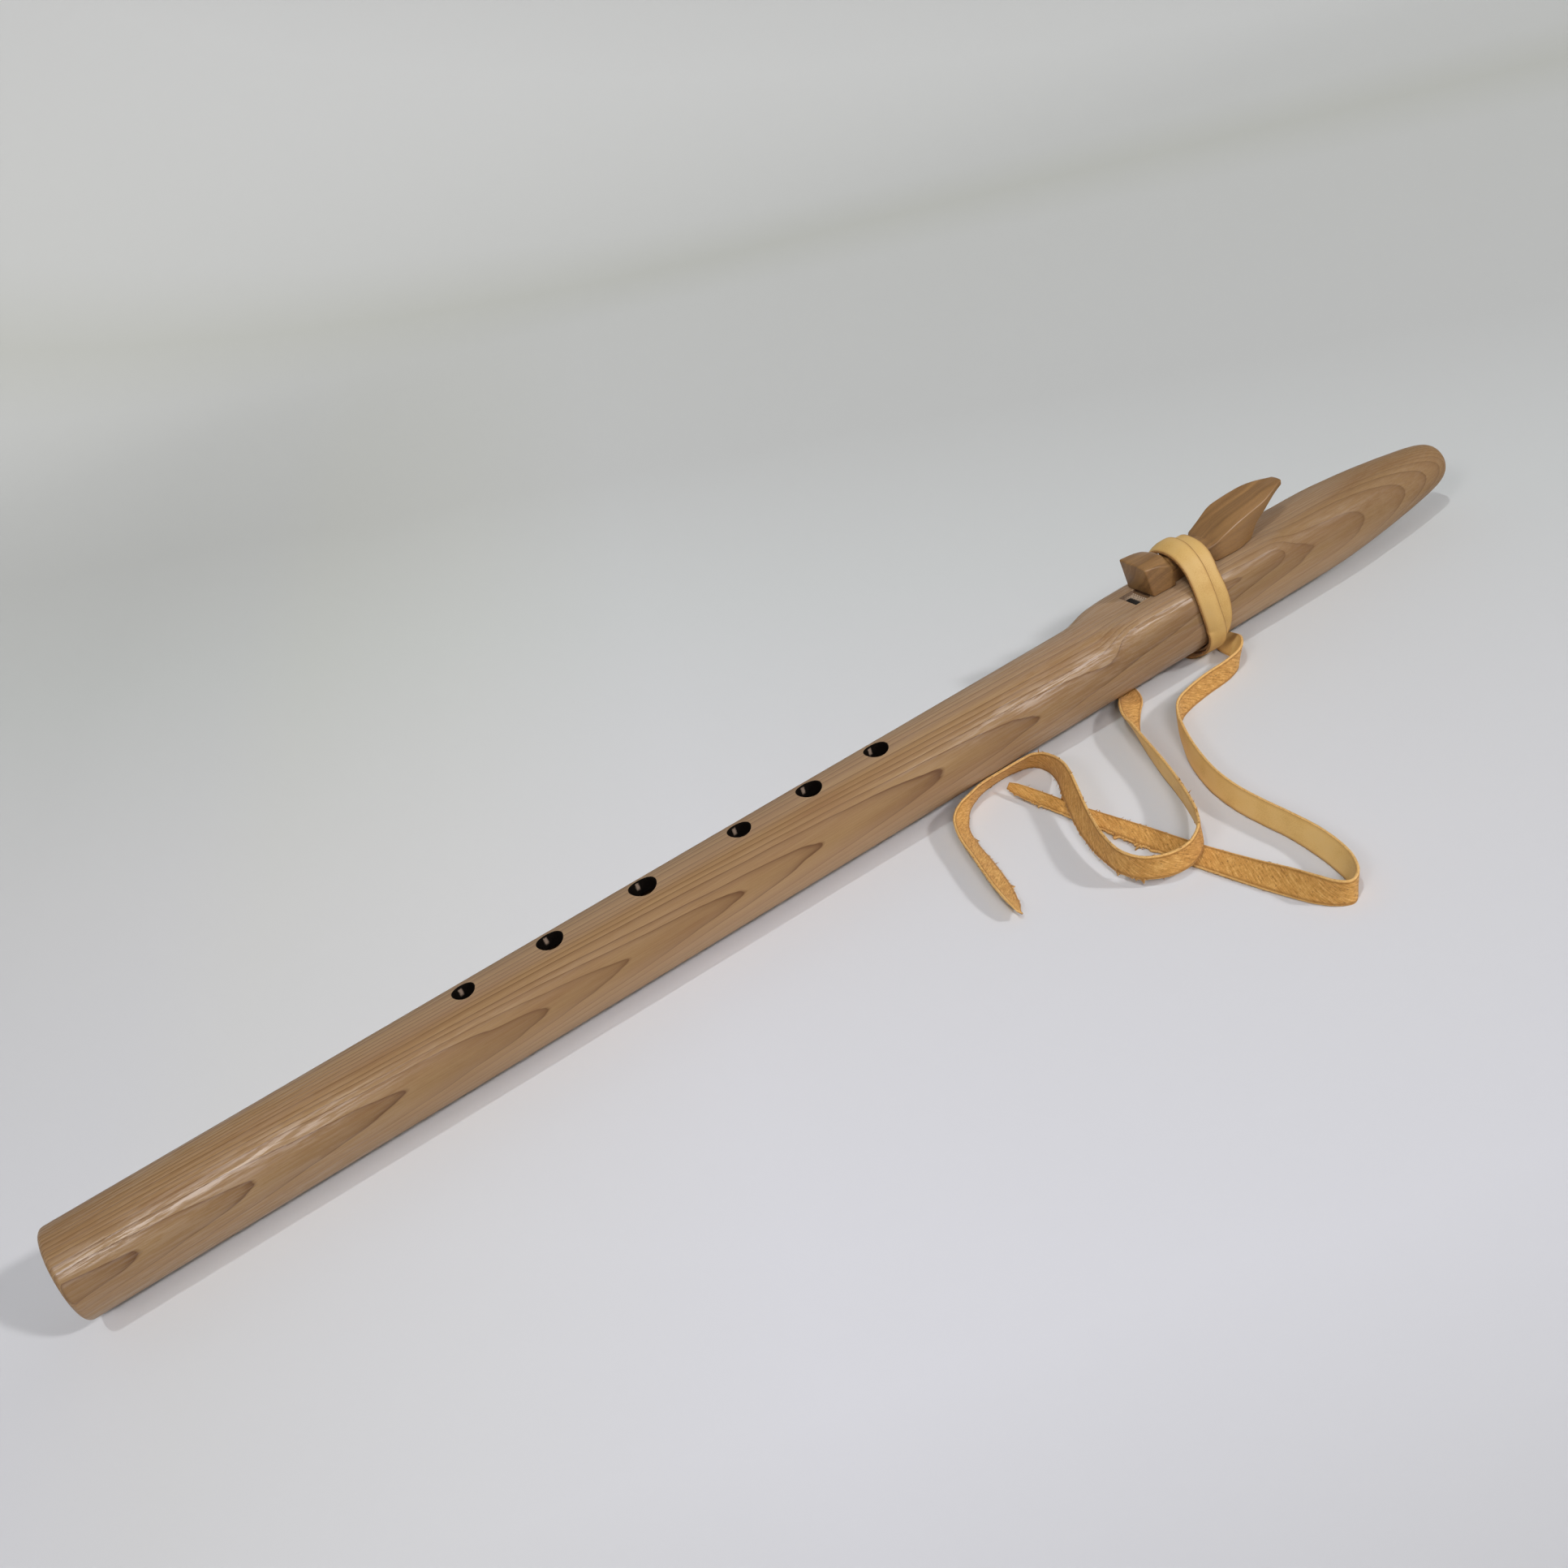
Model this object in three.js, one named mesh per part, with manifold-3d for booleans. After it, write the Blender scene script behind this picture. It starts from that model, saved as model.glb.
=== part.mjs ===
// Cedar flute with two air chambers, a carved block and a leather lace
// X runs from the foot to the mouth, Z is up, and the lace's lowest face lies at Z zero

import * as THREE from 'three';
import { mergeVertices } from 'three/addons/utils/BufferGeometryUtils.js';
import Module from 'manifold-3d';

const wasm = await Module();
wasm.setup();

// Body
const bodyLength = 579.5;
const bodyRadius = 16;
const wallThickness = 5;
const boreRadius = bodyRadius - wallThickness;
const footEdgeRadius = 2;
const cutOverrun = 1;

// Nest, the flat top that carries the block
const nestCornerRadius = 8;
// Each pair: distance from the foot as a share of the length, how square the top is
const nestShares = [
  [0.676, 0], [0.688, 0.06], [0.6946, 0.28], [0.7007, 0.58], [0.7072, 0.8], [0.7154, 0.93],
  [0.7255, 1], [0.8265, 1], [0.8356, 0.8], [0.8452, 0.46], [0.8568, 0.3], [0.875, 0.23],
  [0.907, 0.2], [0.946, 0.13], [0.976, 0.05], [1, 0],
];

// Mouth end: distance from the mouth and radius, both as shares of the body radius
const mouthShares = [
  [4.4, 1], [3.8, 0.985], [3.05, 0.932], [2.3, 0.863], [1.6, 0.78], [1, 0.697],
  [0.65, 0.64], [0.4, 0.585], [0.22, 0.525], [0.1, 0.455], [0.03, 0.375], [0, 0.3],
];

// Chambers
const soundChamberEnd = 428.6;
const airChamberStart = 441;
const airChamberTaperStart = 518;
const airChamberTaperEnd = 560;
const breathHoleRadius = 3.25;

// Finger holes: distance from the foot and diameter
const fingerHoles = [
  [142.6, 7.5], [174.5, 8.9], [210, 9.5], [248.5, 8.1], [277.3, 9], [305.9, 8.6],
];

// Sound hole, flue and exit hole under the block
const soundHoleFront = 421;
const soundHoleRear = 428;
const soundHoleHalfWidth = 4.9;
const soundHoleRampShare = 0.2143;
const soundHoleDepth = bodyRadius / 2;
const flueDepth = 0.9;
const flueFrontHalfWidth = 4.6;
const flueRearHalfWidth = 3.7;
const exitHoleFront = 444;
const exitHoleRear = 451;

// Block
const blockClearance = 0.2;
const blockLeanShare = 0.16;
// Each row: distance from the foot, bottom height over the nest, bottom half width, eave
// height, eave half width, top height, top half width and how much higher the far eave is
const blockSections = [
  [428.3, 0, 6.7, 11.9, 6.4, 12.7, 2.6, 1.2],
  [433, 0, 7, 10.6, 6.8, 12.6, 2, 1.6],
  [437.2, 0, 7.3, 8.5, 7, 12.3, 1.6, 2.6],
  [438.5, 0, 7.3, 7.4, 6.9, 11.2, 1.8, 2.4],
  [439.2, 0, 5.4, 5.8, 5.6, 9, 2.2, 0],
  [448.5, 0, 4.9, 5.6, 5.6, 8.8, 2.4, 0],
  [456.9, 0, 5.2, 5.9, 5.9, 9, 2.2, 0],
  [459.2, 0, 7.6, 7.6, 7.6, 10.4, 1.6, 0.2],
  [464, 0, 8, 10, 7.7, 12.4, 1.2, 0.5],
  [470, 0, 8, 12.6, 7.3, 14.4, 1, 0.8],
  [476.5, 0, 6.4, 14.3, 6.9, 15.6, 1, 0.6],
  [480.2, 4.3, 5.9, 14.8, 6.5, 15.9, 1, 0.4],
  [486, 7.7, 5.2, 15, 6, 16, 1, 0.4],
  [492, 11, 4, 14.7, 4.7, 15.7, 0.9, 0.4],
  [496.4, 12.5, 2.2, 14.3, 2.7, 15, 0.6, 0.2],
  [498.4, 13.4, 1, 14.2, 1.2, 14.5, 0.4, 0],
];

// Lace
const laceThickness = 1.1;
const laceWidth = 9;
const laceGap = 0.35;
const laceLeastGap = 0.4;
// Where the second turn climbs on the first: the offset at which it starts and the offset
// over which it does so, as shares of the lace's width, and the slack over the least step
const crossingStartShare = 1.14;
const crossingEaseShare = 0.09;
const crossingSlackShare = 1.12;
// How far the path of the winding rises over the body on top of the block
const wrapRise = 9.45;
// Each pair: angle round the body as a share of a turn, from the underside by the far side
// and the top to the near side, and the path's height as a share of the rise
const wrapPathShares = [
  [-0.2167, 0.0317], [-0.1778, 0.0085], [-0.1389, 0.0053], [-0.1, 0.0053],
  [-0.0611, 0.0053], [-0.0222, 0.0106], [0.0139, 0.0317], [0.0472, 0.0952],
  [0.0778, 0.2169], [0.1056, 0.3492], [0.1306, 0.4868], [0.1528, 0.619],
  [0.1722, 0.7407], [0.1903, 0.8571], [0.2083, 0.9418], [0.2278, 0.9894],
  [0.25, 1], [0.2722, 0.9894], [0.2917, 0.9418], [0.3097, 0.8571],
  [0.3278, 0.7407], [0.3472, 0.619], [0.3694, 0.4868], [0.3944, 0.3492],
  [0.4222, 0.2169], [0.4528, 0.0952], [0.4861, 0.0317], [0.5222, 0.0106],
  [0.5611, 0.0053], [0.6, 0.0053], [0.6389, 0.0053], [0.6778, 0.0085],
  [0.7167, 0.0317],
];
// Where the winding crosses the body, from the foot
const wrapMiddle = 449;
// Each pair: angle along the winding in turns, and how far the lace's middle lies from the
// winding's as a share of the lace's width
const wrapCourseShares = [
  [-0.1, 0.9444], [0.0139, 0.8333], [0.1306, 0.5444], [0.25, 0.2444],
  [0.3694, 0.1556], [0.4861, 0.1111], [0.6, -0.0556], [0.6778, -0.1],
  [0.75, -0.1], [0.8222, -0.1333], [0.9, -0.2], [1.0139, -0.3333],
  [1.1306, -0.4222], [1.25, -0.4556], [1.3694, -0.3778], [1.4861, -0.3333],
  [1.6, -0.2556], [1.6556, -0.2667], [1.7167, -0.4111], [1.75, -0.4667],
  [1.8194, -0.5333],
];
const wrapStartShare = -0.1;
const wrapEndShare = 1.82;

// Knot behind the body, low down: how far it lies from the winding's middle along the body,
// and its angle below the axis
const knotOffset = 1.5;
const knotAngle = -40;
const knotHalfLength = 6.4;
const knotHalfWidth = 4.5;
const knotHalfThick = 2.9;
const knotGap = 0.22;

// Lace ends. Each row: distance from the foot, distance to the far side, lean of the
// lace from upright in degrees, and lift above the table
const rightTail = [
  [457.8, 8.8, 86, 0.1], [457.7, 3, 87, 0.1], [457.4, -3, 84, 0.1], [456, -8, 72, 0.1],
  [454.2, -12.8, 54, 0.1], [452.4, -18.4, 32, 0.1], [447.6, -24.4, 14, 0.1],
  [439.8, -27.2, 4, 0.1], [429, -28, 0, 0.1], [419.5, -29.5, 0, 0.1], [411.5, -32.4, 0, 0.1],
  [405.3, -38.6, 2, 0.1], [400.6, -46, 6, 0.1], [394.2, -58, 14, 0.1], [388.2, -74.5, 16, 0.1],
  [385.8, -88, 16, 0.1], [385.4, -100, 16, 0.1], [385.6, -112, 16, 0.1], [385.1, -124, 24, 0.1],
  [383.2, -135, 24, 0.1], [380.6, -142.6, 18, 0.1], [377, -148, 8, 0.1], [373.4, -149.6, 0, 0.1],
  [370.4, -147, -8, 0.1], [368, -141, -26, 0.1], [366, -131, -48, 0.1], [363.8, -119.5, -66, 0.1],
  [361.4, -107, -76, 0.1], [359.5, -97.5, -80, 0.1], [357.9, -88, -82, 0.1], [356, -77, -82, 0.1],
  [354, -66, -82, 0.1], [351.8, -54, -82, 0.1], [349.8, -44, -80, 0.1], [347.8, -34.5, -70, 0.1],
  [345.6, -25.5, -56, 0.1], [344, -16.5, -48, 0.1],
];
const leftTail = [
  [442.8, 16.4, 6, 0.6], [436, 19.6, 0, 0.2], [428, 21.2, 0, 0.2], [419.8, 20.2, -24, 0.2],
  [413.2, 15.4, -60, 0.1], [411, 8.5, -84, 0.3], [410.6, -1, -84, 0.2], [408, -8, -75, 0.1],
  [402, -15, -52, 0.2], [396.1, -22.9, -34, 0.2], [391.6, -32, -13, 0.2], [383.8, -53, 0, 0.2],
  [379.4, -65.4, 0, 0.2], [374, -78, 0, 1], [366.6, -91.6, 0, 3], [361.2, -98, 0, 3.4],
  [354, -101.6, 0, 3.4], [346.4, -100.8, 0, 3.4], [340.2, -95.8, -2, 3.3], [337.6, -87.5, -7, 3.2],
  [339.1, -76, -16, 3.2], [341.8, -67, -24, 3.3], [345.4, -57.6, -30, 3.5], [350, -47.6, -32, 4],
  [354.6, -38, -29, 4.2], [357.6, -31, -20, 3], [359.6, -24, -8, 1.4], [360.1, -17.4, 8, 0.4],
  [358, -12.4, 25, 0.2], [353, -10.2, 34, 0.2], [345, -9.7, 35, 0.2], [336, -10.8, 27, 0.2],
  [328, -14.4, 12, 0.2], [323, -17.8, -14, 0.2], [318.8, -22, -34, 0.2], [315, -31, -45, 0.2],
  [311.6, -45, -48, 0.2], [308, -58.6, -50, 0.2], [304.8, -69.5, -46, 0.2],
  [302.6, -76.8, -38, 0.2],
];
const tailSteps = 38;

const degree = Math.PI / 180;
const fullTurn = 2 * Math.PI;
const quarterTurn = Math.PI / 2;


function lerpTable(table, at) {
  if (at <= table[0][0]) return table[0][1];
  for (let i = 1; i < table.length; i += 1) {
    if (at <= table[i][0]) {
      const share = (at - table[i - 1][0]) / (table[i][0] - table[i - 1][0]);
      return table[i - 1][1] + share * (table[i][1] - table[i - 1][1]);
    }
  }
  return table[table.length - 1][1];
}

// A smooth curve through a table's points, read at any place between them
function smoothTable(table, at) {
  const last = table.length - 1;
  const place = Math.min(Math.max(at, table[0][0]), table[last][0]);
  let i = 0;
  while (i < last - 1 && place > table[i + 1][0]) i += 1;
  const slope = (k) => {
    const before = Math.max(k - 1, 0);
    const after = Math.min(k + 1, last);
    return (table[after][1] - table[before][1]) / (table[after][0] - table[before][0]);
  };
  const span = table[i + 1][0] - table[i][0];
  const t = (place - table[i][0]) / span;
  const start = table[i][1];
  const end = table[i + 1][1];
  const startRise = slope(i) * span;
  const endRise = slope(i + 1) * span;
  return (2 * t ** 3 - 3 * t ** 2 + 1) * start + (t ** 3 - 2 * t ** 2 + t) * startRise
    + (3 * t ** 2 - 2 * t ** 3) * end + (t ** 3 - t ** 2) * endRise;
}

// A closed surface through rings with equal point counts, with a flat cap at each end
function loftRings(rings) {
  const count = rings[0].length;
  const positions = [];
  const faces = [];
  for (const ring of rings) {
    for (const point of ring) positions.push(point.x, point.y, point.z);
  }
  for (let r = 0; r < rings.length - 1; r += 1) {
    for (let i = 0; i < count; i += 1) {
      const a = r * count + i;
      const b = r * count + (i + 1) % count;
      faces.push(a, b, b + count, a, b + count, a + count);
    }
  }
  const middleOf = (ring) => {
    const middle = new THREE.Vector3();
    for (const point of ring) middle.add(point);
    return middle.divideScalar(ring.length);
  };
  const first = middleOf(rings[0]);
  const last = middleOf(rings[rings.length - 1]);
  const firstIndex = positions.length / 3;
  positions.push(first.x, first.y, first.z, last.x, last.y, last.z);
  const lastRing = (rings.length - 1) * count;
  for (let i = 0; i < count; i += 1) {
    const next = (i + 1) % count;
    faces.push(firstIndex, next, i, firstIndex + 1, lastRing + i, lastRing + next);
  }
  const geometry = new THREE.BufferGeometry();
  geometry.setAttribute('position', new THREE.Float32BufferAttribute(positions, 3));
  geometry.setIndex(faces);
  return geometry;
}

function toSolid(source) {
  const bare = source.clone();
  bare.deleteAttribute('normal');
  bare.deleteAttribute('uv');
  const merged = mergeVertices(bare);
  return new wasm.Manifold(new wasm.Mesh({
    numProp: 3,
    vertProperties: new Float32Array(merged.attributes.position.array),
    triVerts: new Uint32Array(merged.index.array),
  }));
}

function toGeometry(solid) {
  const mesh = solid.getMesh();
  const geometry = new THREE.BufferGeometry();
  geometry.setAttribute('position', new THREE.BufferAttribute(mesh.vertProperties, 3));
  geometry.setIndex(new THREE.BufferAttribute(mesh.triVerts, 1));
  return geometry;
}

function boxSolid(fromX, toX, fromY, toY, fromZ, toZ) {
  const box = new THREE.BoxGeometry(toX - fromX, toY - fromY, toZ - fromZ);
  box.translate((fromX + toX) / 2, (fromY + toY) / 2, (fromZ + toZ) / 2);
  return toSolid(box);
}

// A turned solid along X from pairs of distance and radius, closed on the axis
function turnedSolid(profile, sides) {
  const points = [new THREE.Vector2(0, profile[0][0])];
  for (const [along, radius] of profile) points.push(new THREE.Vector2(radius, along));
  points.push(new THREE.Vector2(0, profile[profile.length - 1][0]));
  const lathe = new THREE.LatheGeometry(points, sides);
  lathe.rotateZ(-Math.PI / 2);
  return toSolid(lathe);
}

// Body

// Distance from the axis to a square with rounded corners, along one direction
function squareReach(angle) {
  const across = Math.abs(Math.cos(angle));
  const up = Math.abs(Math.sin(angle));
  const corner = bodyRadius - nestCornerRadius;
  const small = Math.min(across, up);
  const large = Math.max(across, up);
  if (small / large <= corner / bodyRadius) return bodyRadius / large;
  const along = corner * (across + up);
  return along + Math.sqrt(along ** 2 - 2 * corner ** 2 + nestCornerRadius ** 2);
}

function bodyRadiusAt(x) {
  const fromMouth = (bodyLength - x) / bodyRadius;
  const table = [...mouthShares].reverse();
  return bodyRadius * lerpTable(table, fromMouth);
}

// Angles of the body's section, with the nest's own edges among them
const quarterShares = [0, 0.1, 0.2, 0.367, 0.433, 0.5, 0.567, 0.633, 0.8, 0.9];

function sectionAngles() {
  const edge = Math.atan((bodyRadius - nestCornerRadius) / bodyRadius);
  const quarter = quarterShares.map((share) => share * quarterTurn);
  quarter.push(edge, quarterTurn - edge);
  quarter.sort((a, b) => a - b);
  const angles = [...quarter, quarterTurn];
  for (let i = quarter.length - 1; i >= 0; i -= 1) angles.push(2 * quarterTurn - quarter[i]);
  for (let i = 21; i < 40; i += 1) angles.push(i * fullTurn / 40);
  return angles;
}

function bodyRing(x, radius) {
  const share = lerpTable(nestShares, x / bodyLength);
  const ring = [];
  for (const angle of sectionAngles()) {
    let reach = radius;
    if (angle < Math.PI - 0.01) reach += share * (squareReach(angle) - bodyRadius);
    ring.push(new THREE.Vector3(x, reach * Math.cos(angle), reach * Math.sin(angle)));
  }
  return ring;
}

function bodyStations() {
  const stations = [];
  for (const turn of [0, 30, 60, 90]) {
    const x = footEdgeRadius * (1 - Math.cos(turn * degree));
    stations.push([x, bodyRadius - footEdgeRadius * (1 - Math.sin(turn * degree))]);
  }
  const plainSpan = nestShares[0][0] * bodyLength;
  for (let i = 1; i < 6; i += 1) stations.push([plainSpan * i / 6, bodyRadius]);
  for (const [share] of nestShares) {
    stations.push([share * bodyLength, bodyRadiusAt(share * bodyLength)]);
  }
  for (const [share, radius] of mouthShares) {
    stations.push([bodyLength - share * bodyRadius, bodyRadius * radius]);
  }
  stations.sort((a, b) => a[0] - b[0]);
  return stations.filter((s, i) => i === 0 || s[0] - stations[i - 1][0] > 0.05 * footEdgeRadius);
}

function outerBody() {
  const rings = bodyStations().map(([x, radius]) => bodyRing(x, radius));
  return toSolid(loftRings(rings));
}

function soundChamber() {
  return turnedSolid([[-cutOverrun, boreRadius], [soundChamberEnd, boreRadius]], 40);
}

function airChamber() {
  return turnedSolid([
    [airChamberStart, boreRadius],
    [airChamberTaperStart, boreRadius],
    [airChamberTaperEnd, breathHoleRadius],
    [bodyLength + cutOverrun, breathHoleRadius],
  ], 40);
}

function fingerHole(x, diameter) {
  const height = bodyRadius - boreRadius + boreRadius / 2 + cutOverrun;
  const hole = new THREE.CylinderGeometry(diameter / 2, diameter / 2, height, 28);
  hole.rotateX(Math.PI / 2);
  hole.translate(x, 0, boreRadius / 2 + height / 2);
  return toSolid(hole);
}

// A prism whose outline is given along X and Z and whose width is along Y
function sidePrism(outline, halfWidth) {
  const shape = new THREE.Shape(outline.map(([x, z]) => new THREE.Vector2(x, z)));
  const prism = new THREE.ExtrudeGeometry(shape, { depth: 2 * halfWidth, bevelEnabled: false });
  prism.rotateX(Math.PI / 2);
  prism.translate(0, halfWidth, 0);
  return toSolid(prism);
}

function soundHole() {
  const top = bodyRadius + cutOverrun;
  const rampFoot = soundHoleFront + soundHoleRampShare * (soundHoleRear - soundHoleFront);
  return sidePrism([
    [soundHoleFront, soundHoleDepth],
    [rampFoot, soundHoleDepth],
    [soundHoleRear, bodyRadius],
    [soundHoleRear, top],
    [soundHoleFront, top],
  ], soundHoleHalfWidth);
}

function flue() {
  const outline = [
    [soundHoleRear - cutOverrun, -flueFrontHalfWidth],
    [exitHoleFront, -flueRearHalfWidth],
    [exitHoleRear, -flueRearHalfWidth],
    [exitHoleRear, flueRearHalfWidth],
    [exitHoleFront, flueRearHalfWidth],
    [soundHoleRear - cutOverrun, flueFrontHalfWidth],
  ];
  const shape = new THREE.Shape(outline.map(([x, y]) => new THREE.Vector2(x, y)));
  const depth = flueDepth + cutOverrun;
  const slab = new THREE.ExtrudeGeometry(shape, { depth, bevelEnabled: false });
  slab.translate(0, 0, bodyRadius - flueDepth);
  return toSolid(slab);
}

function exitHole() {
  return boxSolid(exitHoleFront, exitHoleRear, -flueRearHalfWidth, flueRearHalfWidth,
    boreRadius / 2, bodyRadius - flueDepth / 2);
}

function hollowBody() {
  let body = outerBody().subtract(soundChamber()).subtract(airChamber());
  for (const [x, diameter] of fingerHoles) body = body.subtract(fingerHole(x, diameter));
  return body.subtract(soundHole()).subtract(flue()).subtract(exitHole());
}

function halfBox(side) {
  const reach = 2 * bodyRadius;
  const low = side > 0 ? 0 : -reach;
  return boxSolid(-cutOverrun, bodyLength + cutOverrun, -reach, reach, low, low + reach);
}

// Block

function blockRing(row, isFront) {
  const [x, low, lowHalf, eave, eaveHalf, top, topHalf, farRise] = row;
  const base = Math.max(low, blockClearance);
  const outline = [
    [-lowHalf, base], [lowHalf, base], [eaveHalf, eave + farRise], [topHalf, top],
    [-topHalf, top], [-eaveHalf, eave],
  ];
  return outline.map(([y, z]) => {
    const lean = isFront ? blockLeanShare * z : 0;
    return new THREE.Vector3(x - lean, y, bodyRadius + z);
  });
}

function carvedBlock() {
  return loftRings(blockSections.map((row, i) => blockRing(row, i === 0)));
}

// Lace

// How far the lace's two edges and middle rise where it crosses its own first turn
function crossingLift(turns) {
  const step = laceThickness + 1.15 * laceLeastGap;
  if (turns - 1 < wrapStartShare) return [0, 0, 0];
  const offset = smoothTable(wrapCourseShares, turns - 1) - smoothTable(wrapCourseShares, turns);
  const ease = Math.min(Math.max((crossingStartShare - offset) / crossingEaseShare, 0), 1);
  const middle = ease * step * crossingSlackShare;
  let front = 0;
  if (offset < 0.45) front = Math.max(0, (step - 2 * middle * offset) / (1 - 2 * offset));
  return [Math.min(front, step), middle, middle * 1.02];
}

function wrapPoint(turns, acrossShare, outward) {
  const [front, middle, rear] = crossingLift(turns);
  const lift = acrossShare < 0 ? middle + (front - middle) * -acrossShare
    : middle + (rear - middle) * acrossShare;
  const folded = turns - Math.floor(turns + 0.25);
  const rise = wrapRise * smoothTable(wrapPathShares, folded);
  const reach = bodyRadius + laceGap + rise + lift + outward * laceThickness;
  const course = smoothTable(wrapCourseShares, turns) + acrossShare / 2;
  const angle = turns * fullTurn;
  return new THREE.Vector3(wrapMiddle + course * laceWidth,
    reach * Math.cos(angle), reach * Math.sin(angle));
}

function wrapPlaces() {
  const places = [];
  for (let turn = -1; turn <= 2; turn += 1) {
    for (const [share] of wrapPathShares) places.push(share + turn);
  }
  places.sort((a, b) => a - b);
  const spare = 0.011;
  const inside = places.filter((t) => t > wrapStartShare + spare && t < wrapEndShare - spare);
  return [wrapStartShare, ...inside, wrapEndShare];
}

function wrapRing(turns) {
  return [
    wrapPoint(turns, 0, 0), wrapPoint(turns, 1, 0), wrapPoint(turns, 1, 1),
    wrapPoint(turns, 0, 1), wrapPoint(turns, -1, 1), wrapPoint(turns, -1, 0),
  ];
}

// Least distance between the first turn's outside and the second turn's inside
function leastWrapGap() {
  let least = Infinity;
  const acrossShares = [-1, -0.8, -0.6, -0.4, -0.2, 0, 0.2, 0.4, 0.6, 0.8, 1];
  const stepShare = 1 / 120;
  for (let turns = wrapStartShare + 1; turns <= wrapEndShare; turns += stepShare) {
    for (const across of acrossShares) {
      for (const side of [0, 1]) {
        const point = wrapPoint(turns, across, side);
        for (let back = -6; back <= 6; back += 1) {
          const below = turns - 1 + back * stepShare / 3;
          if (below < wrapStartShare) continue;
          for (const other of acrossShares) {
            for (const otherSide of [0, 1]) {
              least = Math.min(least, point.distanceTo(wrapPoint(below, other, otherSide)));
            }
          }
        }
      }
    }
  }
  return least;
}

function laceWinding() {
  console.log(`lace winding: least gap to itself ${leastWrapGap().toFixed(2)} mm`);
  return loftRings(wrapPlaces().map((turns) => wrapRing(turns)));
}

function laceKnot() {
  const reach = bodyRadius + laceGap + laceThickness + knotGap + knotHalfThick;
  const turn = knotAngle * degree;
  const knot = new THREE.SphereGeometry(1, 16, 10);
  knot.scale(knotHalfLength, knotHalfThick, knotHalfWidth);
  knot.rotateX(turn);
  knot.translate(wrapMiddle + knotOffset, reach * Math.cos(turn), reach * Math.sin(turn));
  return toGeometry(toSolid(knot));
}

// Depth of the winding's lowest face below the body's axis, which rests on the table
function windingDepth() {
  let lowest = 0;
  for (const turns of wrapPlaces()) {
    for (const point of wrapRing(turns)) lowest = Math.min(lowest, point.z);
  }
  return -lowest;
}

const floorDepth = windingDepth();

// The route of a lace end, which also carries how the flat lace leans along it
class LaceRoute extends THREE.CatmullRomCurve3 {
  constructor(rows) {
    const halfWidth = laceWidth / 2;
    const halfThick = laceThickness / 2;
    super(rows.map(([x, y, lean, lift]) => {
      const upright = Math.abs(Math.cos(lean * degree));
      const flat = Math.abs(Math.sin(lean * degree));
      return new THREE.Vector3(x, y, lift - floorDepth + halfWidth * upright + halfThick * flat);
    }), false, 'centripetal');
    this.leans = rows.map((row) => row[2]);
  }

  computeFrenetFrames(steps) {
    const tangents = [];
    const normals = [];
    const binormals = [];
    const up = new THREE.Vector3(0, 0, 1);
    for (let i = 0; i <= steps; i += 1) {
      const along = this.getUtoTmapping(i / steps);
      const place = along * (this.leans.length - 1);
      const before = Math.min(Math.floor(place), this.leans.length - 2);
      const share = place - before;
      const lean = this.leans[before] * (1 - share) + this.leans[before + 1] * share;
      const tangent = this.getTangent(along);
      const left = new THREE.Vector3().crossVectors(up, tangent).normalize();
      const level = new THREE.Vector3().crossVectors(tangent, left).normalize();
      const across = level.multiplyScalar(Math.cos(lean * degree))
        .addScaledVector(left, Math.sin(lean * degree));
      tangents.push(tangent);
      normals.push(across);
      binormals.push(new THREE.Vector3().crossVectors(tangent, across).normalize());
    }
    return { tangents, normals, binormals };
  }
}

function laceSection() {
  const halfWidth = laceWidth / 2;
  const halfThick = laceThickness / 2;
  const edge = laceThickness / 4;
  return new THREE.Shape([
    new THREE.Vector2(-halfWidth, -halfThick + edge),
    new THREE.Vector2(-halfWidth + edge, -halfThick),
    new THREE.Vector2(halfWidth - edge, -halfThick),
    new THREE.Vector2(halfWidth, -halfThick + edge),
    new THREE.Vector2(halfWidth, halfThick - edge),
    new THREE.Vector2(halfWidth - edge, halfThick),
    new THREE.Vector2(-halfWidth + edge, halfThick),
    new THREE.Vector2(-halfWidth, halfThick - edge),
  ]);
}

function laceTail(rows) {
  const route = new LaceRoute(rows);
  return new THREE.ExtrudeGeometry(laceSection(), {
    steps: tailSteps * 2,
    bevelEnabled: false,
    extrudePath: route,
  });
}

// Assembly

const cedar = { color: 0xa9835c, roughness: 0.5, metalness: 0 };
const darkWood = { color: 0x8f6238, roughness: 0.48, metalness: 0 };
const leather = { color: 0xdcb163, roughness: 0.85, metalness: 0 };
const suede = { color: 0xcf8f3c, roughness: 0.95, metalness: 0 };

const flute = new THREE.Group();
flute.position.set(-bodyLength / 2, 0, floorDepth);

function addPiece(name, geometry, look) {
  const mesh = new THREE.Mesh(geometry, new THREE.MeshStandardMaterial(look));
  mesh.name = name;
  flute.add(mesh);
}

const body = hollowBody();
addPiece('upper_body_half', toGeometry(body.intersect(halfBox(1))), cedar);
addPiece('lower_body_half', toGeometry(body.intersect(halfBox(-1))), cedar);
addPiece('carved_block', carvedBlock(), darkWood);
addPiece('lace_winding', laceWinding(), leather);
addPiece('lace_knot', laceKnot(), leather);
addPiece('lace_tail_right', laceTail(rightTail), suede);
addPiece('lace_tail_left', laceTail(leftTail), suede);

const model = new THREE.Group();
model.add(flute);

export default model;
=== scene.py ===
import math
import random

import bpy
from mathutils import Matrix, Vector, noise


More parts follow.
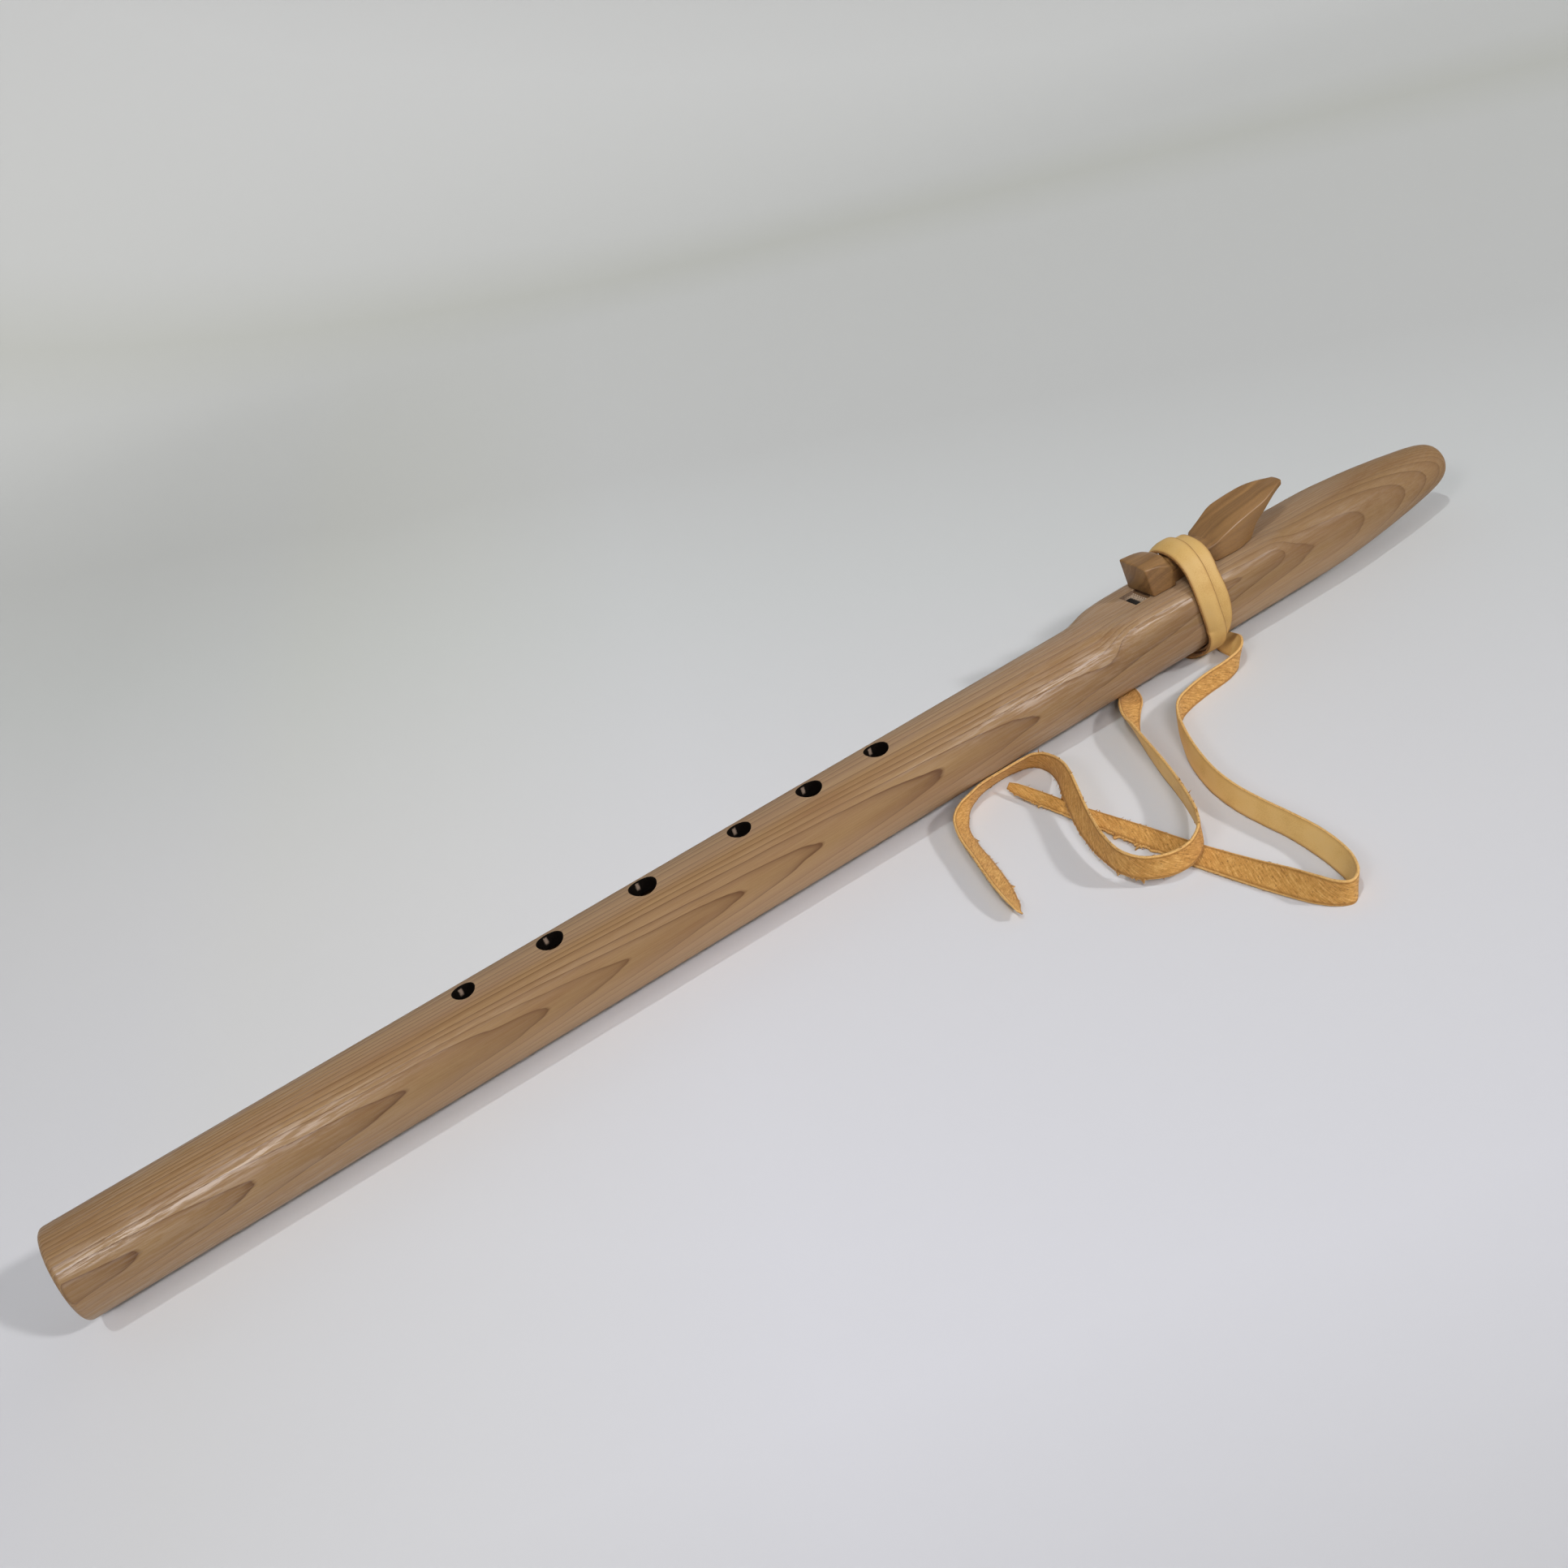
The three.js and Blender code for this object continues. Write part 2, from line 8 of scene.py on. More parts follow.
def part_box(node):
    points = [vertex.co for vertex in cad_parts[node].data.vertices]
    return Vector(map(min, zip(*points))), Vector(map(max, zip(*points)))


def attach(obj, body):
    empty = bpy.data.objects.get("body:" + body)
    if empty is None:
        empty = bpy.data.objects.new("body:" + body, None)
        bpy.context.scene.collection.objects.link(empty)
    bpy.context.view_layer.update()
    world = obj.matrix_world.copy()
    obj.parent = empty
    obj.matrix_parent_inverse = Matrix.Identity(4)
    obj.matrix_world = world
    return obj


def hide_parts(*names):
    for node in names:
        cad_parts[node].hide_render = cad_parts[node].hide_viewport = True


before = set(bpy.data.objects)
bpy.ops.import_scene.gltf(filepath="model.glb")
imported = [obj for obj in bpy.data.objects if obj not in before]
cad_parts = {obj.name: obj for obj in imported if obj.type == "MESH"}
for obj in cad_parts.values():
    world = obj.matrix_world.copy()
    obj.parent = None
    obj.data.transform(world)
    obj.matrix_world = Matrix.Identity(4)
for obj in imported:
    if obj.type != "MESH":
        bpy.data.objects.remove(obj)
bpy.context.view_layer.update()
print("frame loaded")

mm = 0.001
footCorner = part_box("upper_body_half")[0]
footX, axisZ = footCorner.x, footCorner.z
bodyRadius = 16.0  # the body's own, which the lace goes round


# a point given in millimetres from the foot, to the far side and over the body's axis
def place(x, y, z):
    return Vector((footX + x * mm, y * mm, axisZ + z * mm))


# a socket's colour from a share of grey, from three levels out of 255, or as it is
def lightOf(tone):
    def straight(level):
        level /= 255
        return level / 12.92 if level <= 0.04045 else ((level + 0.055) / 1.055) ** 2.4
    if not isinstance(tone, tuple):
        return (tone, tone, tone, 1)
    return tone if len(tone) == 4 else (*map(straight, tone), 1)


def mixNumbers(a, b, share):
    return a + (b - a) * share


def readTable(table, at):
    if at <= table[0][0]:
        return table[0][1]
    for before, after in zip(table, table[1:]):
        if at <= after[0]:
            return mixNumbers(before[1], after[1], (at - before[0]) / (after[0] - before[0]))
    return table[-1][1]


# a curve between two values that leaves and arrives with the given slopes
def curveBetween(start, startSlope, end, endSlope, t):
    return ((2 * t**3 - 3 * t**2 + 1) * start + (t**3 - 2 * t**2 + t) * startSlope
            + (3 * t**2 - 2 * t**3) * end + (t**3 - t**2) * endSlope)


# a smooth curve through a table's points
def smoothTable(table, at):
    last = len(table) - 1
    at = min(max(at, table[0][0]), table[last][0])
    i = 0
    while i < last - 1 and at > table[i + 1][0]:
        i += 1

    def slope(k):
        before, after = table[max(k - 1, 0)], table[min(k + 1, last)]
        return (after[1] - before[1]) / (after[0] - before[0])
    (near, start), (far, end) = table[i:i + 2]
    span = far - near
    return curveBetween(start, slope(i) * span, end, slope(i + 1) * span, (at - near) / span)


# camera, fitted to the photograph
cameraLook = {
    "place": (-0.176465, -0.436969, 0.324658),
    "right": (0.82813, -0.48155, -0.28689),
    "up": (0.48140, 0.34882, 0.80410),
    "lens": 36.503,
}


def makeCamera(look):
    data = bpy.data.cameras.new("viewCamera")
    data.sensor_width = 36
    data.lens = look["lens"]
    data.clip_start = 0.01
    data.clip_end = 50
    camera = bpy.data.objects.new("viewCamera", data)
    bpy.context.scene.collection.objects.link(camera)
    right, up = Vector(look["right"]).normalized(), Vector(look["up"])
    back = right.cross(up).normalized()
    up = back.cross(right)
    turn = Matrix((right, up, back)).transposed().to_4x4()
    camera.matrix_world = Matrix.Translation(look["place"]) @ turn
    bpy.context.scene.camera = camera


makeCamera(cameraLook)


# a socket's value in an expression, where each operator adds its Math node
class Wire:
    def __init__(self, finish, socket):
        self.finish, self.socket = finish, socket

    def maths(self, operation, *values, clamp=False):
        settings = {"operation": operation, "use_clamp": clamp}
        return self.finish.add("ShaderNodeMath", settings, dict(enumerate(values)))

    def __add__(self, other): return self.maths("ADD", self, other)
    def __radd__(self, other): return self.maths("ADD", other, self)
    def __sub__(self, other): return self.maths("SUBTRACT", self, other)
    def __rsub__(self, other): return self.maths("SUBTRACT", other, self)
    def __mul__(self, other): return self.maths("MULTIPLY", self, other)
    def __truediv__(self, other): return self.maths("DIVIDE", self, other)
    def __neg__(self): return self.maths("MULTIPLY", self, -1)
    def __abs__(self): return self.maths("ABSOLUTE", self)
    def fract(self): return self.maths("FRACT", self)
    def least(self, other): return self.maths("MINIMUM", self, other)
    def held(self): return self.maths("ADD", self, 0, clamp=True)

    # 0 below an edge and 1 above it, with a soft change between
    def over(self, edge, soft):
        spans = {"Value": self, "From Min": edge - soft, "From Max": edge + soft}
        return self.finish.add("ShaderNodeMapRange", {"interpolation_type": "SMOOTHSTEP"}, spans)


# a material or the world: its nodes are added by a call, and fixed values go on its shader's sockets
class Finish:
    def __init__(self, name, fixed, kind="materials", shader="Principled BSDF"):
        self.made = getattr(bpy.data, kind).new(name)
        self.made.use_nodes = True
        self.tree = self.made.node_tree
        self.shader = self.tree.nodes[shader]
        for socket, value in fixed.items():
            self.feed(self.shader.inputs[socket], value)

    def add(self, kind, settings=None, inputs=None, output=0):
        node = self.tree.nodes.new(kind)
        for name, value in (settings or {}).items():
            if name == "stops":
                self.setStops(node.color_ramp, value)
            else:
                setattr(node, name, value)
        for name, value in (inputs or {}).items():
            self.feed(node.inputs[name], value)
        return Wire(self, node.outputs[output])

    def setStops(self, ramp, stops):
        while len(ramp.elements) < len(stops):
            ramp.elements.new(1)
        for element, (spot, shade) in zip(ramp.elements, stops):
            element.position = spot
        for element, (spot, shade) in zip(ramp.elements, stops):
            element.color = lightOf(shade)

    def feed(self, socket, value):
        if isinstance(value, Wire):
            self.tree.links.new(value.socket, socket)
        else:
            socket.default_value = lightOf(value) if isinstance(value, tuple) else value

    def ramp(self, value, stops):
        return self.add("ShaderNodeValToRGB", {"stops": stops}, {"Fac": value})

    # a ramp over a table whose places aren't shares
    def rampOver(self, value, table):
        low, high = table[0][0], table[-1][0]
        stops = [((at - low) / (high - low), result) for at, result in table]
        return self.ramp((value - low) / (high - low), stops)

    def tones(self, value, places, colours):
        return self.ramp(value, list(zip(places, colours)))

    def mix(self, share, first, second, blend="MIX"):
        settings = {"data_type": "RGBA", "blend_type": blend}
        return self.add("ShaderNodeMix", settings, {0: share, 6: first, 7: second}, 2)

    def vector(self, x, y, z):
        return self.add("ShaderNodeCombineXYZ", None, {0: x, 1: y, 2: z})

    def split(self, vector):
        return [self.add("ShaderNodeSeparateXYZ", None, {0: vector}, axis) for axis in range(3)]

    # noise over three values, each already scaled
    def noise(self, x, y, z, detail=2, rough=0.5, scale=1):
        inputs = {"Vector": self.vector(x, y, z), "Scale": scale, "Detail": detail, "Roughness": rough}
        return self.add("ShaderNodeTexNoise", None, inputs)

    def bump(self, height, depth, strength=0.6):
        inputs = {"Height": height, "Distance": depth * mm, "Strength": strength}
        return self.add("ShaderNodeBump", None, inputs)

    # millimetres from the foot, to the far side and over the axis
    def position(self):
        x, y, z = self.split(self.add("ShaderNodeTexCoord", output="Object"))
        return (x - footX) / mm, y / mm, (z - axisZ) / mm

    def dress(self, tone, rough=None, normal=None, coat=None):
        links = {"Base Color": tone, "Roughness": rough, "Normal": normal, "Coat Weight": coat}
        for socket, value in links.items():
            if value is not None:
                self.feed(self.shader.inputs[socket], value)
        return self.made


def addMesh(name, materials, points, faces, faceMaterials=None, faceUvs=None):
    mesh = bpy.data.meshes.new(name)
    mesh.from_pydata([tuple(point) for point in points], [], faces)
    for material in materials:
        mesh.materials.append(material)
    if faceMaterials:
        mesh.polygons.foreach_set("material_index", faceMaterials)
    if faceUvs:
        layer = mesh.uv_layers.new(name="laceMap")
        flat = [number for corners in faceUvs for corner in corners for number in corner]
        layer.data.foreach_set("uv", flat)
    mesh.polygons.foreach_set("use_smooth", [True] * len(mesh.polygons))
    mesh.update()
    thing = bpy.data.objects.new(name, mesh)
    bpy.context.scene.collection.objects.link(thing)
    return thing


# a closed skin through rings that have equal point counts, its faces turned outwards
def loft(name, rings, material):
    count = len(rings[0])
    faces = []
    for r in range(len(rings) - 1):
        for i in range(count):
            here, beside = r * count + i, r * count + (i + 1) % count
            faces.append((here, beside, beside + count, here + count))
    faces.append(tuple(reversed(range(count))))
    faces.append(tuple(range((len(rings) - 1) * count, len(rings) * count)))
    return outwards(addMesh(name, [material], [point for ring in rings for point in ring], faces))


def outwards(thing):
    mesh = thing.data
    volume = 0
    mesh.calc_loop_triangles()
    for triangle in mesh.loop_triangles:
        a, b, c = (mesh.vertices[i].co for i in triangle.vertices)
        volume += a.dot(b.cross(c))
    if volume < 0:
        mesh.flip_normals()
    return thing


def applyModifier(thing, kind, **settings):
    modifier = thing.modifiers.new(kind.lower(), kind)
    for name, value in settings.items():
        setattr(modifier, name, value)
    with bpy.context.temp_override(object=thing, active_object=thing):
        bpy.ops.object.modifier_apply(modifier=modifier.name)


def cutAway(thing, cutter):
    applyModifier(thing, "BOOLEAN", object=cutter, operation="DIFFERENCE",
                  solver="MANIFOLD", material_mode="TRANSFER")
    bpy.data.objects.remove(cutter)


# lace: in each end's rows are the distance from the foot, the distance to the far side, the lean
# from upright and, where the end's own isn't meant, the lift off the table; its taper pairs a share
# of the length and of the width
lace = {
    "width": 9.0,
    "thickness": 1.1,
    "gap": 0.35,
    "leastGap": 0.4,
    "lowest": 0.02,
    "smoothSide": (230, 191, 121),
    "smoothShade": (214, 171, 99),
    "suedeSide": (206, 152, 78),
    "suedeDark": (150, 98, 38),
    "suedeLight": (236, 190, 118),
    # an edge's dark, middle and light tones: cut on the loose ends, worn on the winding
    "cutEdge": ((186, 134, 70), (222, 176, 106), (238, 204, 146)),
    "wornEdge": ((112, 74, 36), (160, 114, 60), (204, 160, 98)),
    "raggedEdge": 0.1,
    "steps": 640,
    "right": {
        "lift": 0.1,
        "rows": [
            (453.4, 14.4, 70, 2.4), (456.2, 12, 80, 0.9), (457.8, 8.8, 86), (457.7, 3, 87),
            (457.4, -3, 84), (456, -8, 72), (454.2, -12.8, 54), (452.4, -18.4, 32), (447.6, -24.4, 14),
            (439.8, -27.2, 4), (429, -28, 0), (419.5, -29.5, 0), (411.5, -32.4, 0), (405.3, -38.6, 2),
            (400.6, -46, 6), (394.2, -58, 14), (388.2, -74.5, 16), (385.8, -88, 16), (385.4, -100, 16),
            (385.6, -112, 16), (385.1, -124, 24), (383.2, -135, 24), (380.6, -142.6, 18), (377, -148, 8),
            (373.4, -149.6, 0), (370.4, -147, -8), (368, -141, -26), (366, -131, -48),
            (363.8, -119.5, -66), (361.4, -107, -76), (359.5, -97.5, -80), (357.9, -88, -82),
            (356, -77, -82), (354, -66, -82), (351.8, -54, -82), (349.8, -44, -80), (347.8, -34.5, -70),
            (345.6, -25.5, -56), (344, -16.5, -48),
        ],
        "taper": [(0, 0.45), (0.012, 0.75), (0.025, 1), (0.76, 1), (0.82, 0.9), (0.88, 0.72), (0.93, 0.6),
                  (0.97, 0.5), (0.99, 0.42), (1, 0.25)],
        "tornFrom": 0.8,
        "fibres": 110,
        "fibresFrom": 0.68,
        "seed": 46,
    },
    "left": {
        "lift": 0.2,
        "rows": [
            (449.5, 14.6, 4, 1.5), (446, 15.4, 5, 1), (442.8, 16.4, 6, 0.6), (436, 19.6, 0),
            (428, 21.2, 0), (419.8, 20.2, -24), (413.2, 15.4, -60, 0.1), (411, 8.5, -84, 0.3),
            (410.6, -1, -84), (408, -8, -75, 0.1), (402, -15, -52), (396.1, -22.9, -34),
            (391.6, -32, -13), (383.8, -53, 0), (379.4, -65.4, 0), (374, -78, 0, 1), (366.6, -91.6, 0, 3),
            (361.2, -98, 0, 3.4), (354, -101.6, 0, 3.4), (346.4, -100.8, 0, 3.4), (340.2, -95.8, -2, 3.3),
            (337.6, -87.5, -7, 3.2), (339.1, -76, -16, 3.2), (341.8, -67, -24, 3.3),
            (345.4, -57.6, -30, 3.5), (350, -47.6, -32, 4), (354.6, -38, -29, 4.2), (357.6, -31, -20, 3),
            (359.6, -24, -8, 1.4), (360.1, -17.4, 8, 0.4), (358, -12.4, 25), (353, -10.2, 34),
            (345, -9.7, 35), (336, -10.8, 27), (328, -14.4, 12), (323, -17.8, -14), (318.8, -22, -34),
            (315, -31, -45), (311.6, -45, -48), (308, -58.6, -50), (304.8, -69.5, -46),
            (302.6, -76.8, -38),
        ],
        "taper": [(0, 0.45), (0.012, 0.75), (0.025, 1), (0.72, 1), (0.78, 0.86), (0.86, 0.8), (0.93, 0.95),
                  (0.96, 0.9), (0.985, 0.6), (1, 0.2)],
        "tornFrom": 0.5,
        "fibres": 300,
        "fibresFrom": 0.35,
        "seed": 49,
    },
}


# the lace's own map has its length in mm and the share of its width
def laceMap(make):
    return make.split(make.add("ShaderNodeUVMap", {"uv_map": "laceMap"}))[:2]


def laceFinish(name, isSmooth):
    make = Finish(name, {"IOR": 1.45, "Specular IOR Level": 0.3, "Sheen Weight": 0 if isSmooth else 0.06})
    along, across = laceMap(make)
    x, y, z = make.position()
    cloudy = make.noise(x, y, z, 1, scale=0.11)
    offMiddle = abs(across - 0.5) * 2
    edge = offMiddle.over(0.9, 0.05)
    besideEdge = offMiddle.over(0.78, 0.1) * (1 - edge)
    if isSmooth:
        pores = make.noise(x, y, z, 3, 0.6, scale=2.6)
        creases = make.noise(along * 0.5, across * 1.5, z * 0.02, 3)
        tone = make.tones(cloudy * 0.5 + pores * 0.5, (0.3, 0.5, 0.75),
                          (lace["smoothShade"], lace["smoothSide"], (230, 194, 132)))
        tone = make.mix(besideEdge * 0.4, tone, (200, 152, 86))
        tone = make.mix(edge * 0.75, tone, (150, 104, 54))
        # painted shade: the lace wound on the body, higher than the loose ends, is painted darker
        upper = make.mix(1, tone, (0.73, 0.7, 0.64, 1), "MULTIPLY")
        tone = make.mix(z.over(-6, 5) * 0.9, tone, upper)
        rough = 0.5 + pores * 0.18
        normal = make.bump(pores * 0.6 + creases, 0.12, 0.5)
    else:
        # the suede's strokes run askew in two ways
        slant, level = along * 0.82 + across * 5.2, across * 7.4 - along * 0.57
        strokes = make.noise(slant * 0.3, level * 1.9, 0.3, 3, 0.6)
        others = make.noise(level * 0.5, slant * 1.4, 5.3, 3, 0.6)
        fibres = strokes * 0.75 + others * 0.25
        nap = make.noise(x, y, z, 4, 0.75, scale=3.2)
        pits = make.noise(slant * 0.6, level * 1.6, 9.1, 2, scale=1.1).over(0.67, 0.04)
        tone = make.tones(fibres * 0.62 + nap * 0.28 + cloudy * 0.1, (0.3, 0.5, 0.72),
                          (lace["suedeDark"], lace["suedeSide"], lace["suedeLight"]))
        tone = make.mix(pits * 0.75, tone, (126, 78, 34))
        tone = make.mix(fibres.over(0.59, 0.05) * 0.35, tone, lace["suedeLight"])
        tone = make.mix((1 - fibres.over(0.4, 0.05)) * 0.35, tone, lace["suedeDark"])
        tone = make.mix(besideEdge * 0.75, tone, (146, 96, 42))
        tone = make.mix(edge * 0.35, tone, lace["cutEdge"][1])
        rough = 0.82 + nap * 0.15
        normal = make.bump(fibres * 0.5 + nap * 0.8 - pits * 0.9, 0.3, 0.7)
    return make.dress(tone, rough, normal)


smoothLeather = laceFinish("smoothLeather", True)
suedeLeather = laceFinish("suedeLeather", False)


def edgeFinish(name):
    make = Finish(name, {"IOR": 1.45})
    along, across = laceMap(make)
    x, y, z = make.position()
    layers = make.noise(along * 0.8, across * 14, z * 0.1, 4, 0.7, scale=1.3)
    nap = make.noise(x, y, z, 3, 0.7, scale=4)
    tone = make.tones(layers * 0.6 + nap * 0.4, (0.3, 0.52, 0.75), lace[name])
    return make.dress(tone, 0.85 + nap * 0.1, make.bump(layers + nap, 0.2))


laceFinishes = [suedeLeather, smoothLeather, edgeFinish("cutEdge")]
woundFinishes = [suedeLeather, smoothLeather, edgeFinish("wornEdge")]


# the lace's section: share across and share through
def laceSection():
    across = [-1, -0.93, -0.75, -0.5, -0.2, 0.2, 0.5, 0.75, 0.93, 1]
    through = [0.5, 0.9, 1, 1, 1, 1, 1, 1, 0.9, 0.5]
    leftFace = list(zip(across, through))
    return leftFace + [(a, -t) for a, t in reversed(leftFace)]


# faces along a strip of such sections, with their finishes and their places on the lace's map
def stripFaces(lengths, turnedOver=False):
    section = laceSection()
    count, last = len(section), (len(lengths) - 1) * len(section)
    suede, smooth, edge = (1, 0, 2) if turnedOver else (0, 1, 2)
    finishes = [edge] + [suede] * 7 + [edge] * 3 + [smooth] * 7 + [edge] * 2
    faces, faceFinish, faceUvs = [], [], []
    for r, (before, after) in enumerate(zip(lengths, lengths[1:])):
        for i, finish in enumerate(finishes):
            j = (i + 1) % count
            corners = (r * count + i, r * count + j, (r + 1) * count + j, (r + 1) * count + i)
            near, far = section[i][0] / 2 + 0.5, section[j][0] / 2 + 0.5
            if finish == edge:
                near, far = section[i][1] * 0.06, section[j][1] * 0.06
            faces.append(corners)
            faceFinish.append(finish)
            faceUvs.append([(before, near), (before, far), (after, far), (after, near)])
    for cap in (tuple(reversed(range(count))), tuple(range(last, last + count))):
        faces.append(cap)
        faceFinish.append(edge)
        faceUvs.append([(0, section[k % count][0] / 2) for k in cap])
    return faces, faceFinish, faceUvs


# rows: centre, direction across, direction out of the left face, share of the width
def ribbon(rows, raggedEdge=lace["raggedEdge"], turnedOver=False, tornFrom=1):
    halfWidth, halfThick = lace["width"] / 2 * mm, lace["thickness"] / 2 * mm
    points, lengths, length = [], [], 0
    overTable = min(row[0].z for row in rows) > 0
    for r, (centre, across, out, share) in enumerate(rows):
        if r:
            length += (centre - rows[r - 1][0]).length / mm
        lengths.append(length)
        thin = min(1, 0.35 + share)
        for a, t in laceSection():
            seedPoint = Vector((length * 0.45, a * 3, 11.3))
            fray = (noise.noise(seedPoint) + noise.noise(seedPoint * 3.1) * 0.5) * raggedEdge
            if a < 0 and r > tornFrom * len(rows):
                torn = noise.noise(Vector((length * 1.5, 2.7, 5.1))) - 0.05
                bits = noise.noise(Vector((length * 0.21, 8.2, 1.4))) + 0.4
                fray += max(0, torn) * max(0, bits) * 8 - 0.35
            reach = a * halfWidth * share + (math.copysign(fray * mm, a) if abs(a) > 0.9 else 0)
            dish = 0.12 * mm * (a**2 - 0.4) * share
            point = centre + across * reach + out * (t * halfThick * thin + dish)
            if overTable:
                point.z = max(point.z, lace["lowest"] * mm)
            points.append(point)
    return (points, *stripFaces(lengths, turnedOver))


# the centre line and lean of a loose end, as the solids have them
def endRows(end):
    halfWidth, halfThick = lace["width"] / 2, lace["thickness"] / 2
    knots = []
    for x, y, lean, *lift in end["rows"]:
        upright, flat = abs(math.cos(math.radians(lean))), abs(math.sin(math.radians(lean)))
        centre = place(x, y, 0)
        centre.z = ((lift[0] if lift else end["lift"]) + halfWidth * upright + halfThick * flat) * mm
        knots.append((centre, lean))
    spans = [(b[0] - a[0]).length ** 0.5 for a, b in zip(knots, knots[1:])]
    fine, pieces = [], 12
    for i in range(len(knots) - 1):
        p1, p2 = knots[i][0], knots[i + 1][0]
        p0 = knots[i - 1][0] if i else p1 * 2 - p2
        p3 = knots[i + 2][0] if i + 2 < len(knots) else p2 * 2 - p1
        d1 = spans[i]
        d0 = spans[i - 1] if i else d1
        d2 = spans[i + 1] if i + 2 < len(knots) else d1
        m1 = ((p1 - p0) / d0 - (p2 - p0) / (d0 + d1) + (p2 - p1) / d1) * d1
        m2 = ((p2 - p1) / d1 - (p3 - p1) / (d1 + d2) + (p3 - p2) / d2) * d1
        for k in range(pieces):
            fine.append((curveBetween(p1, m1, p2, m2, k / pieces), i + k / pieces))
    fine.append((knots[-1][0], len(knots) - 1))
    lengths = [0]
    for a, b in zip(fine, fine[1:]):
        lengths.append(lengths[-1] + (b[0] - a[0]).length)
    total = lengths[-1]
    leans = [(i, lean) for i, (centre, lean) in enumerate(knots)]
    alongTable = list(zip(lengths, range(len(fine))))
    rows = []
    for step in range(lace["steps"] + 1):
        gone = step / lace["steps"]
        at = readTable(alongTable, total * gone)
        i = min(int(at), len(fine) - 2)
        share = at - i
        centre = fine[i][0].lerp(fine[i + 1][0], share)
        tangent = (fine[min(i + 2, len(fine) - 1)][0] - fine[max(i - 1, 0)][0]).normalized()
        lean = math.radians(smoothTable(leans, mixNumbers(fine[i][1], fine[i + 1][1], share)))
        left = Vector((0, 0, 1)).cross(tangent).normalized()
        level = tangent.cross(left).normalized()
        across = level * math.cos(lean) + left * math.sin(lean)
        out = left * math.cos(lean) - level * math.sin(lean)
        rows.append((centre, across, out, readTable(end["taper"], gone)))
    return rows, total


# thin fibres that stand out of the suede's edges, each a short bent spike
def addFibres(end, rows, points, faces, faceFinish, faceUvs):
    chance = random.Random(end["seed"])
    for k in range(end["fibres"]):
        r = chance.randrange(int(end["fibresFrom"] * len(rows)), len(rows) - 2)
        centre, across, out, share = rows[r]
        ahead = (rows[r + 1][0] - centre).normalized()
        side = chance.choice((-1, -1, 1))
        root = centre + across * side * share * (lace["width"] / 2 - 0.1) * mm
        root += out * chance.uniform(0, 0.45) * mm
        lead = across * side + out * chance.uniform(-0.6, 0.6) + ahead * chance.uniform(-1.6, 1.6)
        length = chance.uniform(0.4, 1.6) * mm
        thick = chance.uniform(0.08, 0.2) * mm
        bend = Vector([chance.uniform(-0.4, 0.4) for axis in range(3)]) * length
        middle = root + lead.normalized() * length * 0.5 + bend * 0.3
        tip = root + lead.normalized() * length + bend
        if min(root.z, middle.z, tip.z) < 0.15 * mm:
            continue
        sideways = lead.cross(out + across * 0.3).normalized()
        upright = lead.cross(sideways).normalized()
        first = len(points)
        for spot, reach in ((root, thick), (middle, thick * 0.8)):
            for turn in range(3):
                angle = turn * 2 * math.pi / 3
                points.append(spot + (sideways * math.cos(angle) + upright * math.sin(angle)) * reach)
        points.append(tip)
        spike = []
        for a, b in ((0, 1), (1, 2), (2, 0)):
            spike += [(a, b, 3 + b, 3 + a), (3 + a, 3 + b, 6)]
        for face in spike + [(2, 1, 0)]:
            faces.append(tuple(first + corner for corner in face))
            faceFinish.append(0)
            faceUvs.append([(r, 0.9)] * len(face))


def makeLaceEnd(side):
    end = lace[side]
    rows, total = endRows(end)
    strip = ribbon(rows, tornFrom=end["tornFrom"])
    addFibres(end, rows, *strip)
    loose = addMesh("laceEnd" + side.capitalize(), laceFinishes, *strip)
    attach(loose, "flute")
    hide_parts("lace_tail_" + side)


makeLaceEnd("right")
makeLaceEnd("left")
print("lace ends laid")

# winding, two turns of the lace round body and block
winding = {
    "middle": 449.0,
    "start": -0.1,
    "end": 1.82,
    "steps": 620,
    # where the turns cross: how many least gaps lie between them, how many widths apart the rise
    # starts and ends, and how much higher the middle and then the rear edge is held
    "crossing": (1.15, 1.14, 1.05, 1.12, 1.02),
    # degrees from the top, and how far the block holds the lace off the body there
    "standOff": [(-8, 9.35), (0, 9.45), (8, 9.35), (15, 8.9), (21.5, 8.1), (28, 7), (35, 5.85), (43, 4.6),
                 (52, 3.3), (62, 2.05), (73, 0.9), (85, 0.3), (98, 0.1), (112, 0.05), (126, 0.05),
                 (140, 0.05), (154, 0.08), (168, 0.3), (192, 0.3)],
    # turns, from the far side over the top, and how many lace widths the lace lies off the middle
    "course": [
        (-0.1, 0.9444), (0.0139, 0.8333), (0.1306, 0.5444), (0.19, 0.31), (0.25, 0.147), (0.3, 0.1),
        (0.33, 0.036), (0.36, -0.05), (0.4, -0.02), (0.44, 0.033), (0.48, 0.038), (0.52, 0.012),
        (0.56, -0.05), (0.6, -0.095), (0.6778, -0.12), (0.75, -0.12), (0.8222, -0.1333), (0.9, -0.2),
        (1.0139, -0.3333), (1.1306, -0.4222), (1.25, -0.465), (1.3, -0.53), (1.33, -0.56),
        (1.36, -0.61), (1.4, -0.64), (1.44, -0.61), (1.48, -0.54), (1.52, -0.46), (1.56, -0.388),
        (1.6, -0.335), (1.6556, -0.317), (1.7167, -0.4111), (1.75, -0.4667), (1.8194, -0.5333),
    ],
    # turns and the share of the lace's width that shows
    "widths": [(0, 1), (1.22, 1), (1.32, 0.86), (1.44, 0.84), (1.5, 0.84), (1.66, 1)],
}


